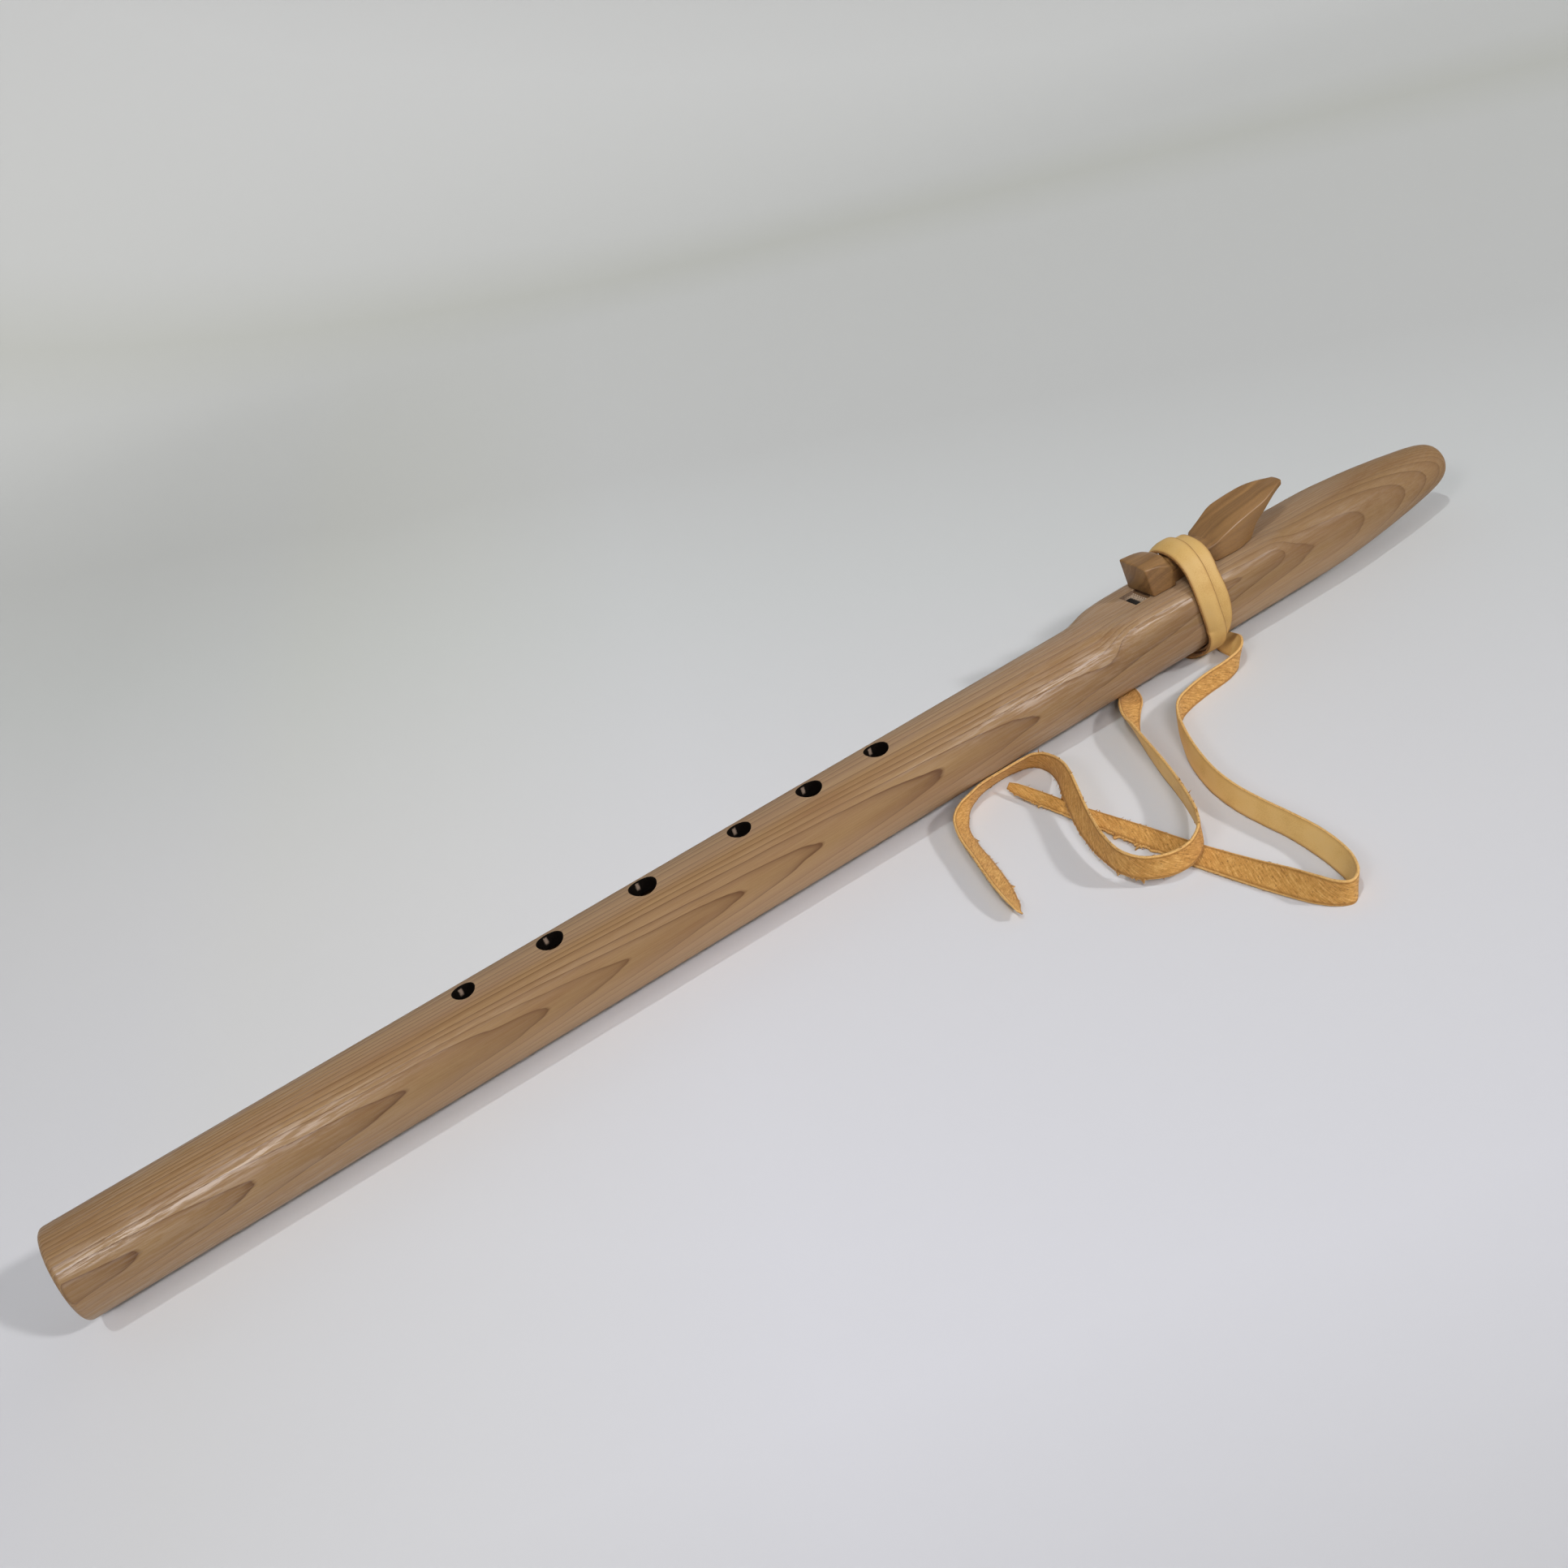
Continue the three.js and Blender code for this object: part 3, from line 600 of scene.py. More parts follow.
# how far the second turn rises over the first, at the front edge, middle and rear edge
def crossingLift(turns):
    gaps, riseStart, riseEnd, middleShare, rearShare = winding["crossing"]
    step = lace["thickness"] + gaps * lace["leastGap"]
    if turns - 1 < winding["start"]:
        return 0, 0, 0
    offset = smoothTable(winding["course"], turns - 1) - smoothTable(winding["course"], turns)
    ease = min(max((riseStart - offset) / (riseStart - riseEnd), 0), 1)
    middle = ease * step * middleShare
    front = max(0, (step - 2 * middle * offset) / (1 - 2 * offset)) if offset < 0.45 else 0
    return min(front, step), middle, middle * rearShare


def windingPoint(turns, across, through):
    front, middle, rear = crossingLift(turns)
    lift = middle + ((front - middle) * -across if across < 0 else (rear - middle) * across)
    fromTop = abs((turns + 0.25) % 1 - 0.5) * 360
    rise = smoothTable(winding["standOff"], fromTop)
    reach = bodyRadius + lace["gap"] + rise + lift + through * lace["thickness"]
    aside = across / 2 * readTable(winding["widths"], turns)
    along = winding["middle"] + (smoothTable(winding["course"], turns) + aside) * lace["width"]
    angle = turns * 2 * math.pi
    return place(along, reach * math.cos(angle), reach * math.sin(angle))


def makeWinding():
    points, lengths, length, before = [], [], 0, None
    for step in range(winding["steps"] + 1):
        turns = mixNumbers(winding["start"], winding["end"], step / winding["steps"])
        centre = windingPoint(turns, 0, 0.5)
        if step:
            length += (centre - before).length / mm
        lengths.append(length)
        before = centre
        for a, t in laceSection():
            wave = noise.noise(Vector((length * 0.12, a * 2, 3.7))) * 0.035
            fray = noise.noise(Vector((length * 0.6, a * 3, 8.1))) * 0.012 if abs(a) > 0.9 else 0
            point = windingPoint(turns, a * (0.995 + fray), 0.5 - t / 2 * 0.94 + wave)
            point.z = max(point.z, lace["lowest"] * mm)
            points.append(point)
    wound = outwards(addMesh("laceWinding", woundFinishes, points, *stripFaces(lengths)))
    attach(wound, "flute")
    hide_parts("lace_winding")


makeWinding()

# knot: bands of the lace pulled tight round each other, each with its tilt, size, slip along
# the knot and share of the lace's width
knot = {
    "middle": 450.5,
    "angle": -40,
    "halfDepth": 2.9,
    "halfHeight": 4.5,
    "gap": 0.22,
    "bands": [(0.42, 1, 1, 0.5), (-0.58, 0.95, 0, 0.46), (1.45, 0.86, -0.6, 0.44)],
    "raggedEdge": 0.05,
    "steps": 72,
}


def makeKnot():
    turn = math.radians(knot["angle"])
    out = Vector((0, math.cos(turn), math.sin(turn)))
    side = Vector((0, -math.sin(turn), math.cos(turn)))
    ahead = Vector((1, 0, 0))
    reach = bodyRadius + lace["gap"] + lace["thickness"] + knot["gap"] + knot["halfDepth"]
    centre = place(knot["middle"], reach * out.y, reach * out.z)
    halfDeep, halfHigh = knot["halfDepth"], knot["halfHeight"]
    points, faces, faceFinish, faceUvs = [], [], [], []
    for band, (tilt, size, slip, share) in enumerate(knot["bands"]):
        axis = (ahead * math.cos(tilt) + side * math.sin(tilt)).normalized()
        cross = out.cross(axis).normalized()
        rows = []
        for step in range(knot["steps"] + 1):
            angle = step / knot["steps"] * 2 * math.pi
            roundness = 1 - 0.1 * math.cos(2 * angle)
            spot = cross * math.cos(angle) * halfHigh * 0.86 * size * roundness
            spot += out * math.sin(angle) * (halfDeep - lace["thickness"] / 2) * size
            spot += axis * (slip + 1.1 * math.sin(angle * 2 + band))
            facing = (cross * math.cos(angle) / halfHigh + out * math.sin(angle) / halfDeep).normalized()
            rows.append((centre + spot * mm, axis, facing, share + 0.08 * math.sin(angle * 3 + band * 2)))
        newPoints, newFaces, newFinish, newUvs = ribbon(rows, knot["raggedEdge"], turnedOver=True)
        first = len(points)
        points += newPoints
        faces += [tuple(first + i for i in face) for face in newFaces]
        faceFinish += newFinish
        faceUvs += newUvs
    tied = outwards(addMesh("laceKnot", laceFinishes, points, faces, faceFinish, faceUvs))
    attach(tied, "flute")
    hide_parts("lace_knot")


makeKnot()
print("lace wound and tied")

# body of the flute; the nest pairs a share of the length and how square the top is there, the
# mouth pairs a distance from its end and a radius, both as shares of the body's radius
body = {
    "length": 579.5,
    "bore": 11.0,
    "boreEdge": 0.55,
    "footRounding": 2.0,
    "nestCorner": 8.0,
    "nestStart": 0.67,
    "firstRing": 4.5,
    "ringStep": 4,
    "nestStep": 2.5,
    "sides": 144,
    "boreSides": 96,
    "holeSides": 72,
    "nest": [
        (0.676, 0), (0.688, 0.06), (0.6946, 0.28), (0.7007, 0.58), (0.7072, 0.8), (0.7154, 0.93),
        (0.7255, 1), (0.8265, 1), (0.8356, 0.8), (0.8452, 0.46), (0.8568, 0.3), (0.875, 0.23),
        (0.907, 0.2), (0.946, 0.13), (0.976, 0.05), (1, 0),
    ],
    "mouth": [
        (4.4, 1), (3.8, 0.985), (3.05, 0.932), (2.3, 0.863), (1.6, 0.78), (1, 0.697), (0.65, 0.64),
        (0.4, 0.585), (0.22, 0.525), (0.1, 0.455), (0.03, 0.375), (0, 0.3),
    ],
    # each finger hole's distance from the foot and diameter
    "holes": [(142.6, 7.5), (174.5, 8.9), (210, 9.5), (248.5, 8.1), (277.3, 9), (305.9, 8.6)],
    # through a hole's rim, how much wider it is and how high over the surface; heights below that
    "holeRim": [(0.75, 1.2), (0.42, 0.03), (0.2, -0.05), (0.07, -0.2), (0, -0.45)],
    "holeDepths": (9, 5),
    # the sound hole's front, the foot of its ramp, its rear, half width and bottom height
    "soundHole": (421, 422.5, 428, 4.9, 8.0),
    # the flue's half width in front and behind, and its depth
    "flue": (4.6, 3.7, 0.9),
    "exitHole": (444, 451),
    "soundChamberEnd": 428.6,
    "airChamber": [(441, 11), (518, 11), (560, 3.25), (581, 3.25)],
}
# cedar; each pair in a table is a share of the length and a value there
cedar = {
    "pale": (184, 150, 106),
    "middle": (170, 135, 94),
    "reddish": (156, 117, 81),
    "line": (116, 81, 54),
    "fibre": (118, 82, 56),
    # painted light low on the near side
    "paintedLowLight": (222, 188, 152),
    "insideWood": (86, 58, 38),
    "paintedHoleLight": (168, 146, 128),
    "char": (6, 4, 3),
    "soot": (20, 14, 10),
    "endGrain": ((150, 120, 94), (196, 172, 146), (222, 204, 182)),
    # how much of its tone the wood keeps, on top and low on the near side: partly the wood's own darker
    # tone, partly painted shade following the light along the body
    "shade": [(0, 0.7), (0.05, 0.72), (0.12, 0.765), (0.3, 0.76), (0.4, 0.775), (0.5, 0.81),
              (0.72, 0.82), (0.83, 0.74), (0.9, 0.69), (1, 0.65)],
    "lowShade": [(0, 0.63), (0.18, 0.64), (0.28, 0.7), (0.4, 0.76), (0.5, 0.78), (0.6, 0.71),
                 (0.72, 0.68), (0.83, 0.7), (0.92, 0.66), (1, 0.72)],
    # the foot and the nest are polished by handling
    "polish": [(0, 0.8), (0.1, 0.9), (0.15, 0.7), (0.2, 0.2), (0.5, 0.08), (0.58, 0.4), (0.64, 0.9),
               (0.76, 0.9), (0.8, 0.35), (1, 0.25)],
    "ringStrength": [(0, 1), (0.6, 1), (0.72, 0.75), (0.8, 0.62), (1, 0.6)],
    # how dark and how red the wood is through one ring
    "ringDark": [(0, 1), (0.035, 0.72), (0.1, 0.36), (0.28, 0.17), (0.6, 0.05), (0.955, 0), (0.985, 0.4),
                 (1, 1)],
    "ringRed": [(0, 0.8), (0.5, 0.4), (0.95, 0), (1, 0)],
    # how far from the foot the arches of the grain reach along the near side
    "arches": [19, 59, 104, 159, 190, 230, 262, 322, 361, 405, 446, 491, 523, 549, 563, 572],
    "grainAngle": 13.0,
    "grainRise": 0.03,
    "spacing": 1.2,
}


# growth rings are flat sheets cut by the body's surface: each one's height in the wood and number
def ringTable():
    mouth = [(body["length"] - far * bodyRadius, size * bodyRadius) for far, size in body["mouth"]]
    heights = sorted(readTable(mouth, x) - cedar["grainRise"] * x for x in cedar["arches"])
    below, above, spacing = 34, 4, cedar["spacing"]
    table = [(heights[0] - below, -below / spacing)]
    table += [(height, number) for number, height in enumerate(heights)]
    table.append((heights[-1] + above, len(heights) - 1 + above / spacing))
    return table


def cedarFinish(name, isInside=False, fibreDepth=1):
    make = Finish(name, {"IOR": 1.5, "Specular IOR Level": 0.08, "Coat Roughness": 0.45})
    x, y, z = make.position()
    share = x / body["length"]
    # ring number at each place, and how far through its ring the place is
    swirl = make.noise(x * 0.011, y * 0.09, z * 0.09) - 0.5
    ripple = make.noise(x * 0.05, y * 0.3, z * 0.3) - 0.5
    angle = math.radians(cedar["grainAngle"])
    height = z * math.sin(angle) - y * math.cos(angle) - x * cedar["grainRise"]
    height = height + swirl * (1.3 - x.over(440, 20) * 0.9) + ripple * 0.3
    table = ringTable()
    least, most = table[0][1], table[-1][1]
    rings = make.rampOver(height, [(at, (number - least) / (most - least)) for at, number in table])
    rings = rings * (most - least) + least
    phase = rings.fract()
    dark = make.ramp(phase, cedar["ringDark"])
    # wood tone, its fibres and the rings' dark lines
    uneven = make.noise(rings * 0.37, 0.5, 0.5, 1)
    patch = make.noise(x * 0.02, y * 0.16, z * 0.16)
    streaks = make.noise(x * 0.035, y * 3.2, z * 3.2, 4, 0.65)
    fibres = make.noise(x * 0.16, y * 9, z * 9, 2, 0.6)
    strength = (0.5 + uneven * 0.9) * (0.6 + patch * 0.8) * make.ramp(share, cedar["ringStrength"])
    tone = make.tones(streaks * 0.55 + patch * 0.45, (0.3, 0.48, 0.7),
                      (cedar["reddish"], cedar["middle"], cedar["pale"]))
    tone = make.mix(make.ramp(phase, cedar["ringRed"]) * 0.45, tone, cedar["reddish"])
    tone = make.mix((dark * strength).held(), tone, cedar["line"])
    tone = make.mix(fibres.over(0.62, 0.1) * 0.22, tone, cedar["fibre"])
    # painted light: paler low on the near side, and a faint painted reflection along the top
    paintedLowLight = (y * -0.75 - z * 0.66).over(13, 4)
    tone = make.mix(paintedLowLight * 0.5, tone, cedar["paintedLowLight"])
    tone = make.mix(z.over(14.9, 0.8) * x.over(95, 45) * 0.05, tone, (1, 1, 1, 1))
    # painted shade: the wood's tone scaled by the tables above, and a little darker in a band where the
    # lamps meet it squarely
    beside = (y * -0.8 - z * 0.6).over(8, 5)
    kept = mixNumbers(make.ramp(share, cedar["shade"]), make.ramp(share, cedar["lowShade"]), beside)
    kept = kept * (1 - (z * 0.64 - y * 0.77).over(12.5, 4) * 0.09)
    tone = make.mix(1, tone, make.vector(kept, kept, kept), "MULTIPLY")
    glints = make.noise(x * 0.07, y * 1.15, z * 1.15, 5, 0.75)
    rough = 0.55 + (streaks - 0.5) * 0.3 + dark * 0.05
    relief = streaks * 0.5 + glints * 0.8 - dark * 0.25
    normal = make.bump(relief, 0.07 * fibreDepth, 0.8)
    if isInside:
        tone = make.mix(0.55, tone, cedar["insideWood"])
        return make.dress(tone, rough + 0.2, normal)
    worn = make.noise(x * 0.05, y * 0.35, z * 0.35).over(0.5, 0.15)
    polish = make.ramp(share, cedar["polish"]) * (0.1 + glints.over(0.51, 0.07) * 1.3) * (0.6 + worn * 0.5)
    return make.dress(tone, rough, normal, polish.held())


# burnt wood of the finger holes, with a small patch of painted light in each
def charFinish():
    make = Finish("charredHole", {"IOR": 1.3, "Specular IOR Level": 0.1})
    x, y, z = make.position()
    soot = make.noise(x, y, z, 4, 0.7, scale=1.6)
    reaches = [abs(x - (spot - 0.55)) for spot, diameter in body["holes"]]
    beside = reaches[0]
    for reach in reaches[1:]:
        beside = beside.least(reach)
    # painted light: a pale patch high on each hole's far wall, where light falls in
    litPatch = (1 - (beside + soot * 0.8).over(1, 0.35)) * y.over(1.5, 0.5) * z.over(12.2, 0.6)
    litPatch = litPatch * (1 - (z + soot).over(15.1, 0.3))
    tone = make.tones(soot, (0.3, 0.7), (cedar["char"], cedar["soot"]))
    tone = make.mix(litPatch * 0.8, tone, cedar["paintedHoleLight"])
    return make.dress(tone, 0.7 + soot * 0.2, make.bump(soot, 0.15))


# the sound hole's ramp: open wood cells above, near black lower down, and a comb of tool marks at its top
def endGrainFinish():
    make = Finish("endGrain", {"IOR": 1.45})
    x, y, z = make.position()
    cells = make.noise(x * 0.6, y * 4.5, z * 2.2, 3, 0.7)
    rows = make.noise(x * 0.4, y * 1.1, z * 2.4)
    speckle = make.add("ShaderNodeTexVoronoi", {"feature": "F1"},
                       {"Vector": make.vector(x * 1.2, y * 2.6, z * 2), "Scale": 1})
    specks = 1 - speckle.over(0.3, 0.12)
    comb = abs((y * 0.85).fract() - 0.5).over(0.3, 0.07) * z.over(14.4, 0.3)
    tone = make.tones(cells * 0.6 + rows * 0.4, (0.3, 0.5, 0.7), cedar["endGrain"])
    tone = make.mix(specks * 0.55, tone, (98, 70, 50))
    tone = make.mix(comb * 0.75, tone, (112, 84, 60))
    # the ramp turns near black below about 14 mm
    deep = 1 - (z + cells * 0.8).over(13.9, 0.3)
    tone = make.mix(deep * 0.97, tone, cedar["char"])
    return make.dress(tone, 0.75 + cells * 0.15, make.bump(cells - specks, 0.2))


cedarOiled = cedarFinish("oiledCedar")
cedarRaw = cedarFinish("rawCedarInside", True, 4)
charred = charFinish()
endGrain = endGrainFinish()


# distance from the axis to a square with rounded corners
def squareReach(angle):
    across, up = abs(math.cos(angle)), abs(math.sin(angle))
    corner = bodyRadius - body["nestCorner"]
    small, large = min(across, up), max(across, up)
    if small / large <= corner / bodyRadius:
        return bodyRadius / large
    along = corner * (across + up)
    return along + math.sqrt(along**2 - 2 * corner**2 + body["nestCorner"] ** 2)


def anglesRound(count):
    return [i * 2 * math.pi / count for i in range(count)]


def bodyRing(x, radius):
    share = smoothTable(body["nest"], x / body["length"]) if x > body["nestStart"] * body["length"] else 0
    share = min(max(share, 0), 1.01)
    ring = []
    for angle in anglesRound(body["sides"]):
        reach = radius
        if math.sin(angle) > -0.001:
            reach += share * (squareReach(angle) - bodyRadius)
        ring.append(place(x, reach * math.cos(angle), reach * math.sin(angle)))
    return ring


# each ring's distance from the foot and radius: the foot's rounding, the straight, the mouth end
def bodyStations():
    rounding, stations = body["footRounding"], []
    for step in range(9):
        turn = math.radians(step * 90 / 8)
        stations.append((rounding * (1 - math.cos(turn)), bodyRadius - rounding * (1 - math.sin(turn))))
    x = body["firstRing"]
    knots = [(body["length"] - share * bodyRadius, bodyRadius * size) for share, size in body["mouth"]]
    while x < knots[0][0] - 1:
        stations.append((x, bodyRadius))
        x += body["nestStep" if x > body["nestStart"] * body["length"] else "ringStep"]
    for i in range(len(knots) - 1):
        before = knots[max(i - 1, 0)]
        start, end = knots[i], knots[i + 1]
        after = knots[min(i + 2, len(knots) - 1)]
        pieces = 6 if end[0] - start[0] > 3 else 3
        for k in range(pieces):
            stations.append([curveBetween(b, (c - a) / 2, c, (d - b) / 2, k / pieces)
                             for a, b, c, d in zip(before, start, end, after)])
    stations.append(knots[-1])
    return stations


def circle(x, radius, sides):
    return [place(x, radius * math.cos(angle), radius * math.sin(angle)) for angle in anglesRound(sides)]


def turned(name, profile, material):
    return loft(name, [circle(x, radius, body["boreSides"]) for x, radius in profile], material)


# a hole's cutter follows the round surface, so that its rim has an even rounding
def holeCutter(x, diameter):
    radius, angles, rings = diameter / 2, anglesRound(body["holeSides"]), []
    for wider, offset in body["holeRim"]:
        ring = []
        for angle in angles:
            reach = radius + wider
            across = reach * math.sin(angle)
            height = math.sqrt(bodyRadius**2 - across**2) + offset
            ring.append(place(x + reach * math.cos(angle), across, height))
        rings.append(ring)
    for depth in body["holeDepths"]:
        rings.append([place(x + radius * math.cos(angle), radius * math.sin(angle), depth)
                      for angle in angles])
    return loft("holeCutter", rings, charred)


def makeBody():
    flute = loft("cedarBody", [bodyRing(x, radius) for x, radius in bodyStations()], cedarOiled)
    bore, edge = body["bore"], body["boreEdge"]
    boreProfile = [(-1, bore + edge + 1), (0, bore + edge), (edge, bore), (body["soundChamberEnd"], bore)]
    cutAway(flute, turned("boreCutter", boreProfile, cedarRaw))
    cutAway(flute, turned("airCutter", body["airChamber"], cedarRaw))
    for x, diameter in body["holes"]:
        cutAway(flute, holeCutter(x, diameter))
    top = bodyRadius + 1
    front, rampFoot, rear, halfWidth, bottom = body["soundHole"]
    outline = [(front, bottom), (rampFoot, bottom), (rear, bodyRadius), (rear, top), (front, top)]
    rings = [[place(x, y, z) for x, z in outline] for y in (-halfWidth, halfWidth)]
    cutAway(flute, loft("soundHoleCutter", rings, endGrain))
    wide, narrow, deep = body["flue"]
    start, end = body["exitHole"]
    exitOutline = [(start, -narrow), (end, -narrow), (end, narrow), (start, narrow)]
    flueOutline = [(rear - 1, -wide), *exitOutline, (rear - 1, wide)]
    for name, outline, low, high in (("flueCutter", flueOutline, bodyRadius - deep, top),
                                     ("exitCutter", exitOutline, bore / 2, bodyRadius - deep / 2)):
        rings = [[place(x, y, z) for x, y in outline] for z in (low, high)]
        cutAway(flute, loft(name, rings, cedarRaw))
    flute.data.polygons.foreach_set("use_smooth", [True] * len(flute.data.polygons))
    flute.data.set_sharp_from_angle(angle=math.radians(32))
    # the large faces shade evenly right up to each rim
    applyModifier(flute, "WEIGHTED_NORMAL", mode="FACE_AREA", weight=80, keep_sharp=True)
    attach(flute, "flute")
    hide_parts("upper_body_half", "lower_body_half")
    print("body hollowed:", len(flute.data.polygons), "faces,", len(flute.data.materials), "finishes")


makeBody()

# carved block; each row: distance from the foot, height of the bottom over the nest and its half
# width, the eaves' height and half width, the top's height and half width, how much higher the
# far eave is, how much lower the near eave, and how much wider the far side
block = {
    "lean": 0.16,
    "clearance": 0.2,
    "lobe": [
        (428.3, 0, 6.7, 11.9, 6.4, 12.7, 2.6, 1.2, 0, 1.2), (433, 0, 7, 10.6, 6.8, 12.6, 2, 1.6, 0, 0.9),
        (437.2, 0, 7.3, 8.5, 7, 12.3, 1.6, 2.6, 0, 0.4), (438.5, 0, 7.3, 7.4, 6.9, 11.2, 1.8, 2.4, 0, 0.2),
    ],
    "saddle": [
        (439.2, 0, 5.4, 5.8, 5.6, 9, 2.2, 0, 0, 0), (448.5, 0, 4.9, 5.6, 5.6, 8.8, 2.4, 0, 0, 0),
        (456.9, 0, 5.2, 5.9, 5.9, 9, 2.2, 0, 0, 0),
    ],
    "tail": [
        (459.2, 0, 7.6, 7.6, 7.2, 10.4, 2, 1, 0.6, 0), (464, 0, 8, 9.8, 7.4, 12.6, 2.5, 1, 1.2, 0),
        (470, 0, 8, 12.6, 7.3, 14.6, 3, 1.5, 2.6, 0), (476.5, 0, 6.4, 14.3, 6.9, 15.7, 3, 0.9, 3.4, 0),
        (480.2, 4.3, 5.9, 14.8, 6.5, 16, 3, 0.8, 3.6, 0), (486, 7.7, 5.2, 15, 6, 16.1, 2.6, 0.8, 3, 0),
        (492, 10.6, 4, 14.8, 4.7, 15.7, 2, 0.6, 1.4, 0), (496.4, 11.6, 2.6, 14.5, 3, 15.2, 1, 0.3, 0.5, 0),
        (498.4, 12, 2.2, 14.4, 2.4, 14.9, 0.6, 0.1, 0.2, 0),
    ],
    "rounding": 0.45,
    "pale": (156, 118, 72),
    "middle": (132, 97, 57),
    "dark": (103, 72, 41),
    "line": (82, 54, 32),
}


def blockFinish():
    make = Finish("carvedDarkWood", {"IOR": 1.5, "Specular IOR Level": 0.36})
    x, y, z = make.position()
    swirl = make.noise(x * 0.05, y * 0.1, z * 0.12)
    height = y * 0.75 + z * 0.6 - x * 0.08 + (swirl - 0.5) * 4.5
    bands = make.noise(height * 0.55, x * 0.02, 0.4, 3, 0.6)
    lines = make.ramp((height * 0.42).fract(), [(0, 0.8), (0.12, 0.4), (0.5, 0.05), (0.92, 0), (1, 0.8)])
    fibres = make.noise(x * 0.5, y * 6, (z + x * 0.3) * 6, 3, 0.65)
    tone = make.tones(bands * 0.6 + fibres * 0.4, (0.3, 0.5, 0.7),
                      (block["dark"], block["middle"], block["pale"]))
    tone = make.mix(lines * 0.26, tone, block["line"])
    # painted light: the tail's near side is painted paler
    nearTail = (-y).over(3.2, 1.2) * x.over(461, 2)
    tone = make.mix(nearTail * 0.3, tone, block["pale"])
    return make.dress(tone, 0.3 + fibres * 0.2, make.bump(fibres * 0.6 - lines * 0.3, 0.06))


# each corner of the outline becomes a short curve
def roundedOutline(outline, rounding):
    points = []
    for i, corner in enumerate(outline):
        before, after = outline[i - 1], outline[(i + 1) % len(outline)]
        toBefore, toAfter = before - corner, after - corner
        cut = min(rounding, toBefore.length * 0.4, toAfter.length * 0.4)
        start, end = corner + toBefore.normalized() * cut, corner + toAfter.normalized() * cut
        for k in range(5):
            t = k / 4
            points.append(start * (1 - t) ** 2 + corner * 2 * t * (1 - t) + end * t**2)
    return points


# the section at a row, drawn in a little at the block's rounded ends
def blockOutline(row, inset):
    x, low, lowHalf, eave, eaveHalf, top, topHalf, farRise, nearDrop, farWide = row
    base = max(low, block["clearance"])
    nearEave = max(eave - nearDrop, base + 0.5)
    if nearDrop:
        top = mixNumbers(nearEave, eave + farRise, 0.5) + 0.2
    outline = [(-lowHalf, base), (lowHalf + farWide, base), (eaveHalf + farWide, eave + farRise),
               (topHalf, top + nearDrop * 0.06), (-topHalf, top - nearDrop * 0.06), (-eaveHalf, nearEave)]
    middle = Vector((0, (base + top) / 2))
    corners = [Vector(corner) for corner in outline]
    points = [corner + (middle - corner).normalized() * inset for corner in corners]
    return roundedOutline(points, block["rounding"])


def smoothRow(rows, at):
    columns = range(1, len(rows[0]))
    return [at] + [smoothTable([(row[0], row[k]) for row in rows], at) for k in columns]


def makeBlock():
    lobe, saddle, tail = block["lobe"], block["saddle"], block["tail"]
    start, lobeEnd, tailStart, finish = lobe[0][0], lobe[-1][0], tail[0][0], tail[-1][0]
    stations = [(start, 0.6), (start + 0.1, 0.28), (start + 0.3, 0.08), (start + 0.6, 0)]
    x = start + 1.4
    while x < lobeEnd - 0.3:
        stations.append((x, 0))
        x += 0.8
    stations += [(lobeEnd, 0.1), (lobeEnd, 0.5)]
    rows = [(smoothRow(lobe, at), inset) for at, inset in stations]
    for k in range(11):
        rows.append((smoothRow(saddle, mixNumbers(saddle[0][0], saddle[-1][0], k / 10)), 0))
    x = tailStart
    while x < finish - 0.4:
        rows.append((smoothRow(tail, x), 0))
        x += 1.1 if x < finish - 5 else 0.5
    rows += [(smoothRow(tail, finish - 0.12), 0.12), (smoothRow(tail, finish), 0.3)]
    rings = []
    for row, inset in rows:
        lean = block["lean"] * max(0, 1 - (row[0] - start) / (lobe[1][0] - start))
        rings.append([place(row[0] - lean * height, side, bodyRadius + height)
                      for side, height in blockOutline(row, inset)])
    carved = loft("carvedBlock", rings, blockFinish())
    carved.data.set_sharp_from_angle(angle=math.radians(40))
    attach(carved, "block")
    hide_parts("carved_block")


makeBlock()
print("block carved")
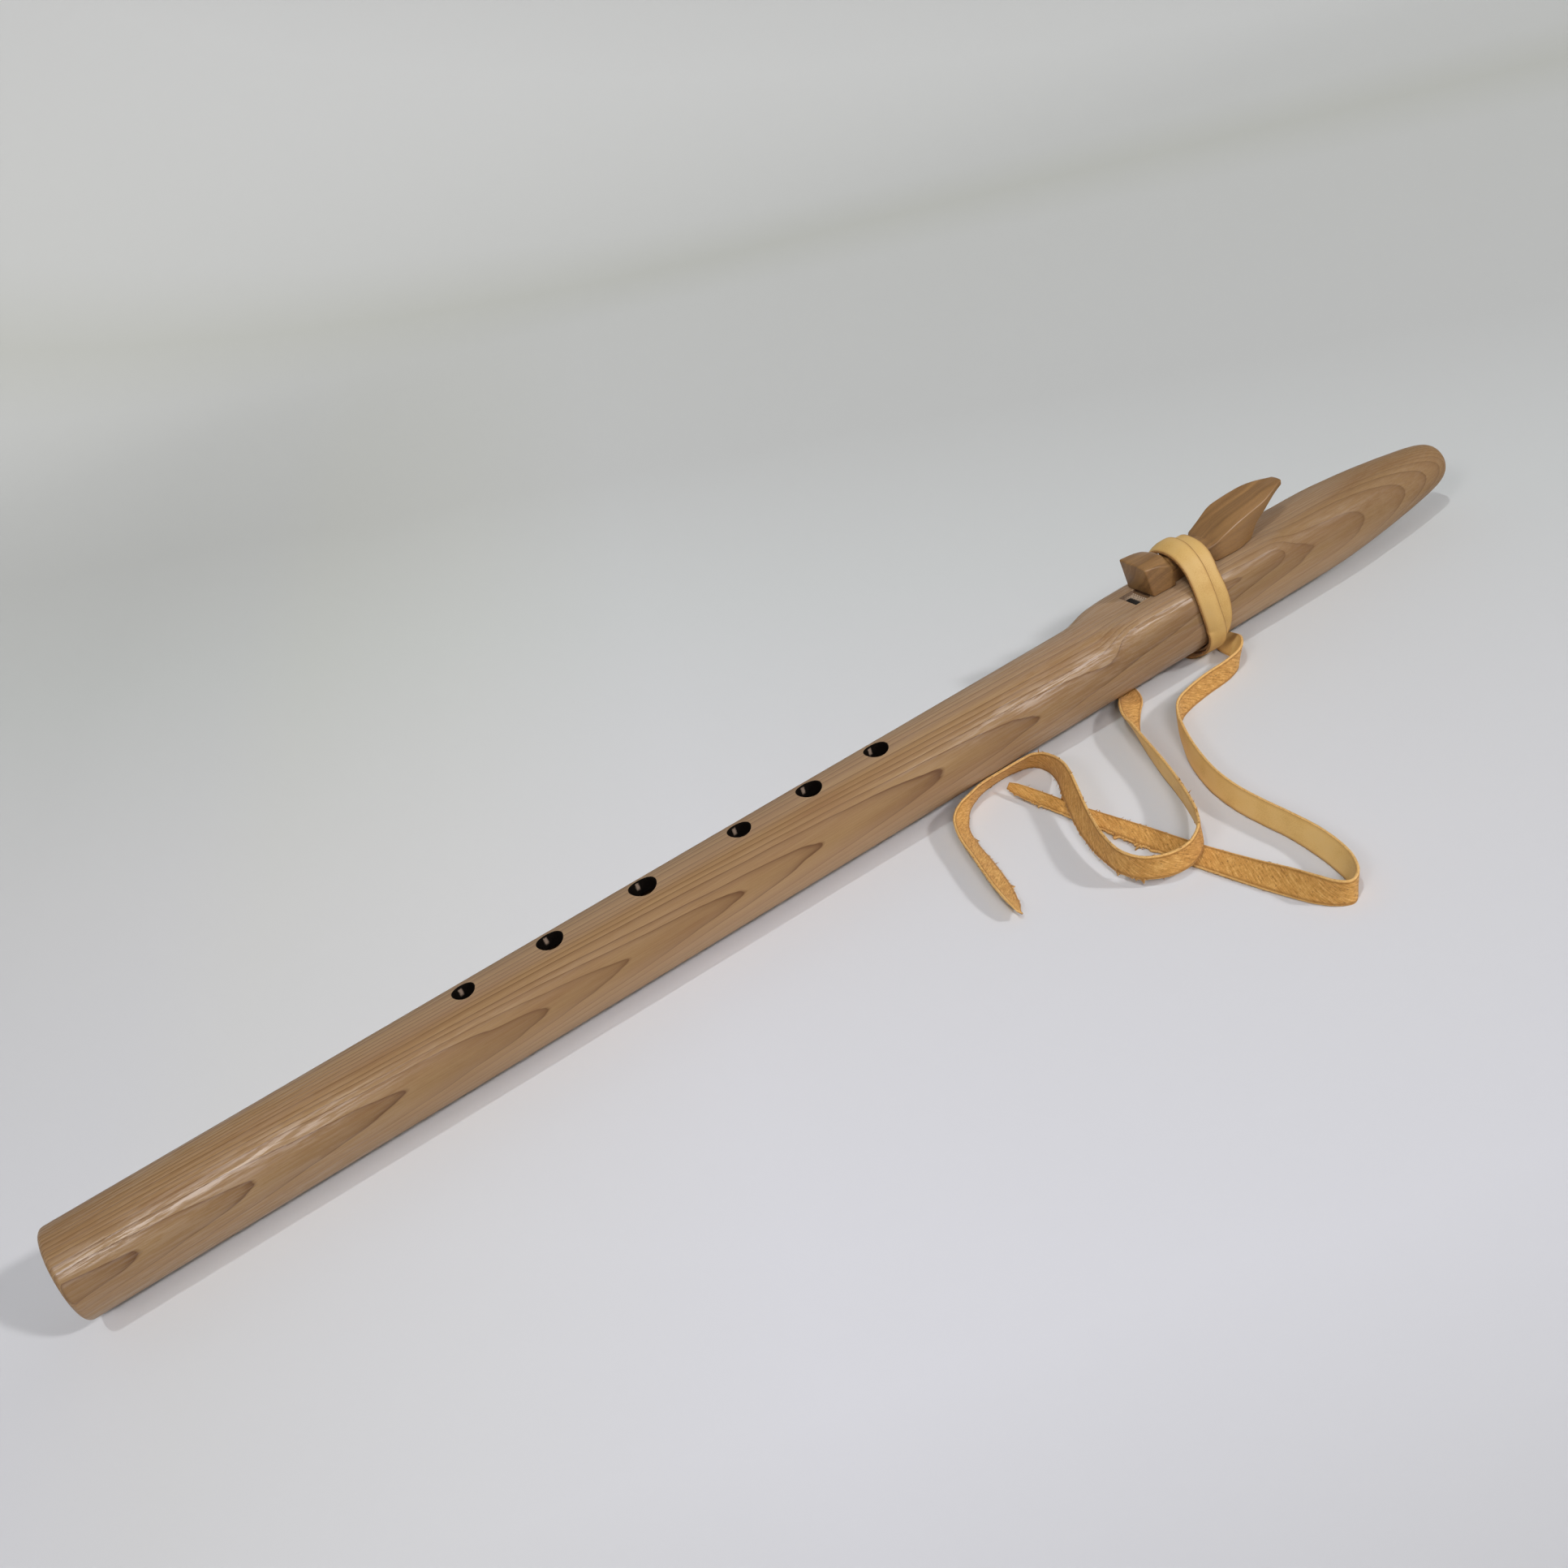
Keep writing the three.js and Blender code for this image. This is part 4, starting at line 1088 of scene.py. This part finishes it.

# table top with a curved backdrop, and the light over it; the table's grey carries painted light
# and shade, and a fall-off pairs a distance in metres with a share of that grey, painted shade near the
# camera and to the left
studio = {
    # how far right and back on the table, in metres, and the grey there, with its lighter and darker bands
    # of painted light and shade
    "floor": [(-0.25, (220, 220, 226)), (0, (213, 213, 216)), (0.3, (200, 202, 202)),
              (0.57, (189, 190, 189)), (1.05, (188, 189, 187)), (1.2, (182, 183, 178)),
              (1.35, (188, 189, 187)), (1.7, (190, 191, 190)), (2.1, (178, 179, 178))],
    "viewForward": (0.3363, 0.9418, 0),
    "fallOffForward": [(-0.32, (0.85, 0.85, 0.83, 1)), (-0.27, (0.93, 0.93, 0.92, 1)),
                       (-0.22, (0.99, 0.99, 0.99, 1)), (0.2, (1, 1, 1, 1))],
    "fallOffAcross": [(-0.38, (0.85, 0.85, 0.83, 1)), (-0.29, (0.89, 0.89, 0.87, 1)),
                      (-0.24, (0.92, 0.92, 0.88, 1)), (-0.15, (0.98, 0.98, 0.95, 1)),
                      (-0.06, (1.02, 1.02, 1.02, 1)), (0.2, (1, 1, 1, 1))],
    "nearEdge": -3.0,
    "sweepStart": 0.9,
    "sweepRadius": 0.8,
    "wallHeight": 4.0,
    "halfWidth": 6.0,
    "sky": 0.15,
    "skyTint": (0.97, 0.98, 1, 1),
    "wall": (200, 201, 200),
    # each lamp: strength, the direction that it comes from, its spread in degrees, its tint
    "lamps": {
        "overhead": (0.66, (-0.26, -0.2, 0.94), 1.5, (0.94, 1, 0.99)),
        "lowRight": (1.3, (0.539, -0.647, 0.539), 4, (1, 1, 1)),
        "front": (1.05, (-0.156, -0.753, 0.639), 14, (1, 0.94, 0.95)),
        "fromLeft": (0.45, (-0.7, -0.35, 0.62), 14, (1, 1, 1)),
    },
    # each reflected lamp: where it shows on the body, the way to it, its size and power
    "gleams": {
        "overFoot": ((36, -12.4, 10.1), (-0.156, -0.72, 0.68), (0.26, 0.2), 17),
        "overNest": ((400, -13, 9.5), (0.48, -0.68, 0.55), (0.18, 0.3), 13.5),
    },
    "gleamDistance": 1.2,
    "gleamTint": (1, 0.97, 0.95),
}


def makeFloor():
    make = Finish("paleTable", {"IOR": 1.4, "Specular IOR Level": 0.1, "Roughness": 0.9})
    forward = Vector(studio["viewForward"])
    across = Vector((forward.y, -forward.x, 0))
    x, y, z = make.split(make.add("ShaderNodeTexCoord", output="Object"))
    # painted light and shade: the table's grey changes across it and is darkened near the camera and to
    # the left
    tone = make.rampOver(x + y, studio["floor"])
    nearBy = 1 - (x * forward.x + y * forward.y).over(0.8, 0.4)
    for axis, table in ((forward, studio["fallOffForward"]), (across, studio["fallOffAcross"])):
        kept = make.rampOver(x * axis.x + y * axis.y, table)
        tone = make.mix(nearBy, tone, kept, "MULTIPLY")
    start, radius, height = studio["sweepStart"], studio["sweepRadius"], studio["wallHeight"]
    profile = [(studio["nearEdge"], 0), (start, 0)]
    for degrees in range(5, 91, 5):
        turn = math.radians(degrees)
        profile.append((start + radius * math.sin(turn), radius * (1 - math.cos(turn))))
    profile.append((start + radius, height))
    points = []
    for distance, height in profile:
        middle = forward * distance + Vector((0, 0, height))
        points += [middle - across * studio["halfWidth"], middle + across * studio["halfWidth"]]
    faces = [(2 * i, 2 * i + 1, 2 * i + 3, 2 * i + 2) for i in range(len(profile) - 1)]
    addMesh("tableTop", [make.dress(tone)], points, faces)


def addLamp(name, kind, tint, power, direction):
    data = bpy.data.lights.new(name, kind)
    data.energy, data.color = power, tint
    lamp = bpy.data.objects.new(name, data)
    lamp.rotation_mode = "QUATERNION"
    lamp.rotation_quaternion = (-Vector(direction)).to_track_quat("-Z", "Y")
    bpy.context.scene.collection.objects.link(lamp)
    return lamp


def lightScene():
    for name, (strength, direction, spread, tint) in studio["lamps"].items():
        lamp = addLamp(name, "SUN", tint, strength, direction)
        lamp.data.angle = math.radians(spread)
        lamp.visible_glossy = False
    for name, (spot, direction, size, power) in studio["gleams"].items():
        lamp = addLamp(name, "AREA", studio["gleamTint"], power, direction)
        lamp.data.shape = "RECTANGLE"
        lamp.data.size, lamp.data.size_y = size
        lamp.location = place(*spot) + Vector(direction).normalized() * studio["gleamDistance"]
        lamp.visible_diffuse = False


# soft light from all round; past the table, the camera and reflections see a pale wall
def makeRoom():
    make = Finish("softRoom", {"Color": studio["skyTint"], "Strength": studio["sky"]},
                  "worlds", "Background")
    wall = make.add("ShaderNodeBackground", None, {"Color": studio["wall"]})
    camera, glossy, through = (make.add("ShaderNodeLightPath", output=f"Is {ray} Ray")
                               for ray in ("Camera", "Glossy", "Transmission"))
    sky = Wire(make, make.shader.outputs[0])
    room = make.add("ShaderNodeMixShader", None, {0: (camera + glossy + through).held(), 1: sky, 2: wall})
    make.feed(make.tree.nodes["World Output"].inputs["Surface"], room)
    bpy.context.scene.world = make.made


makeFloor()
lightScene()
makeRoom()
bpy.context.scene.view_settings.view_transform = "Standard"
print("table and lights set")
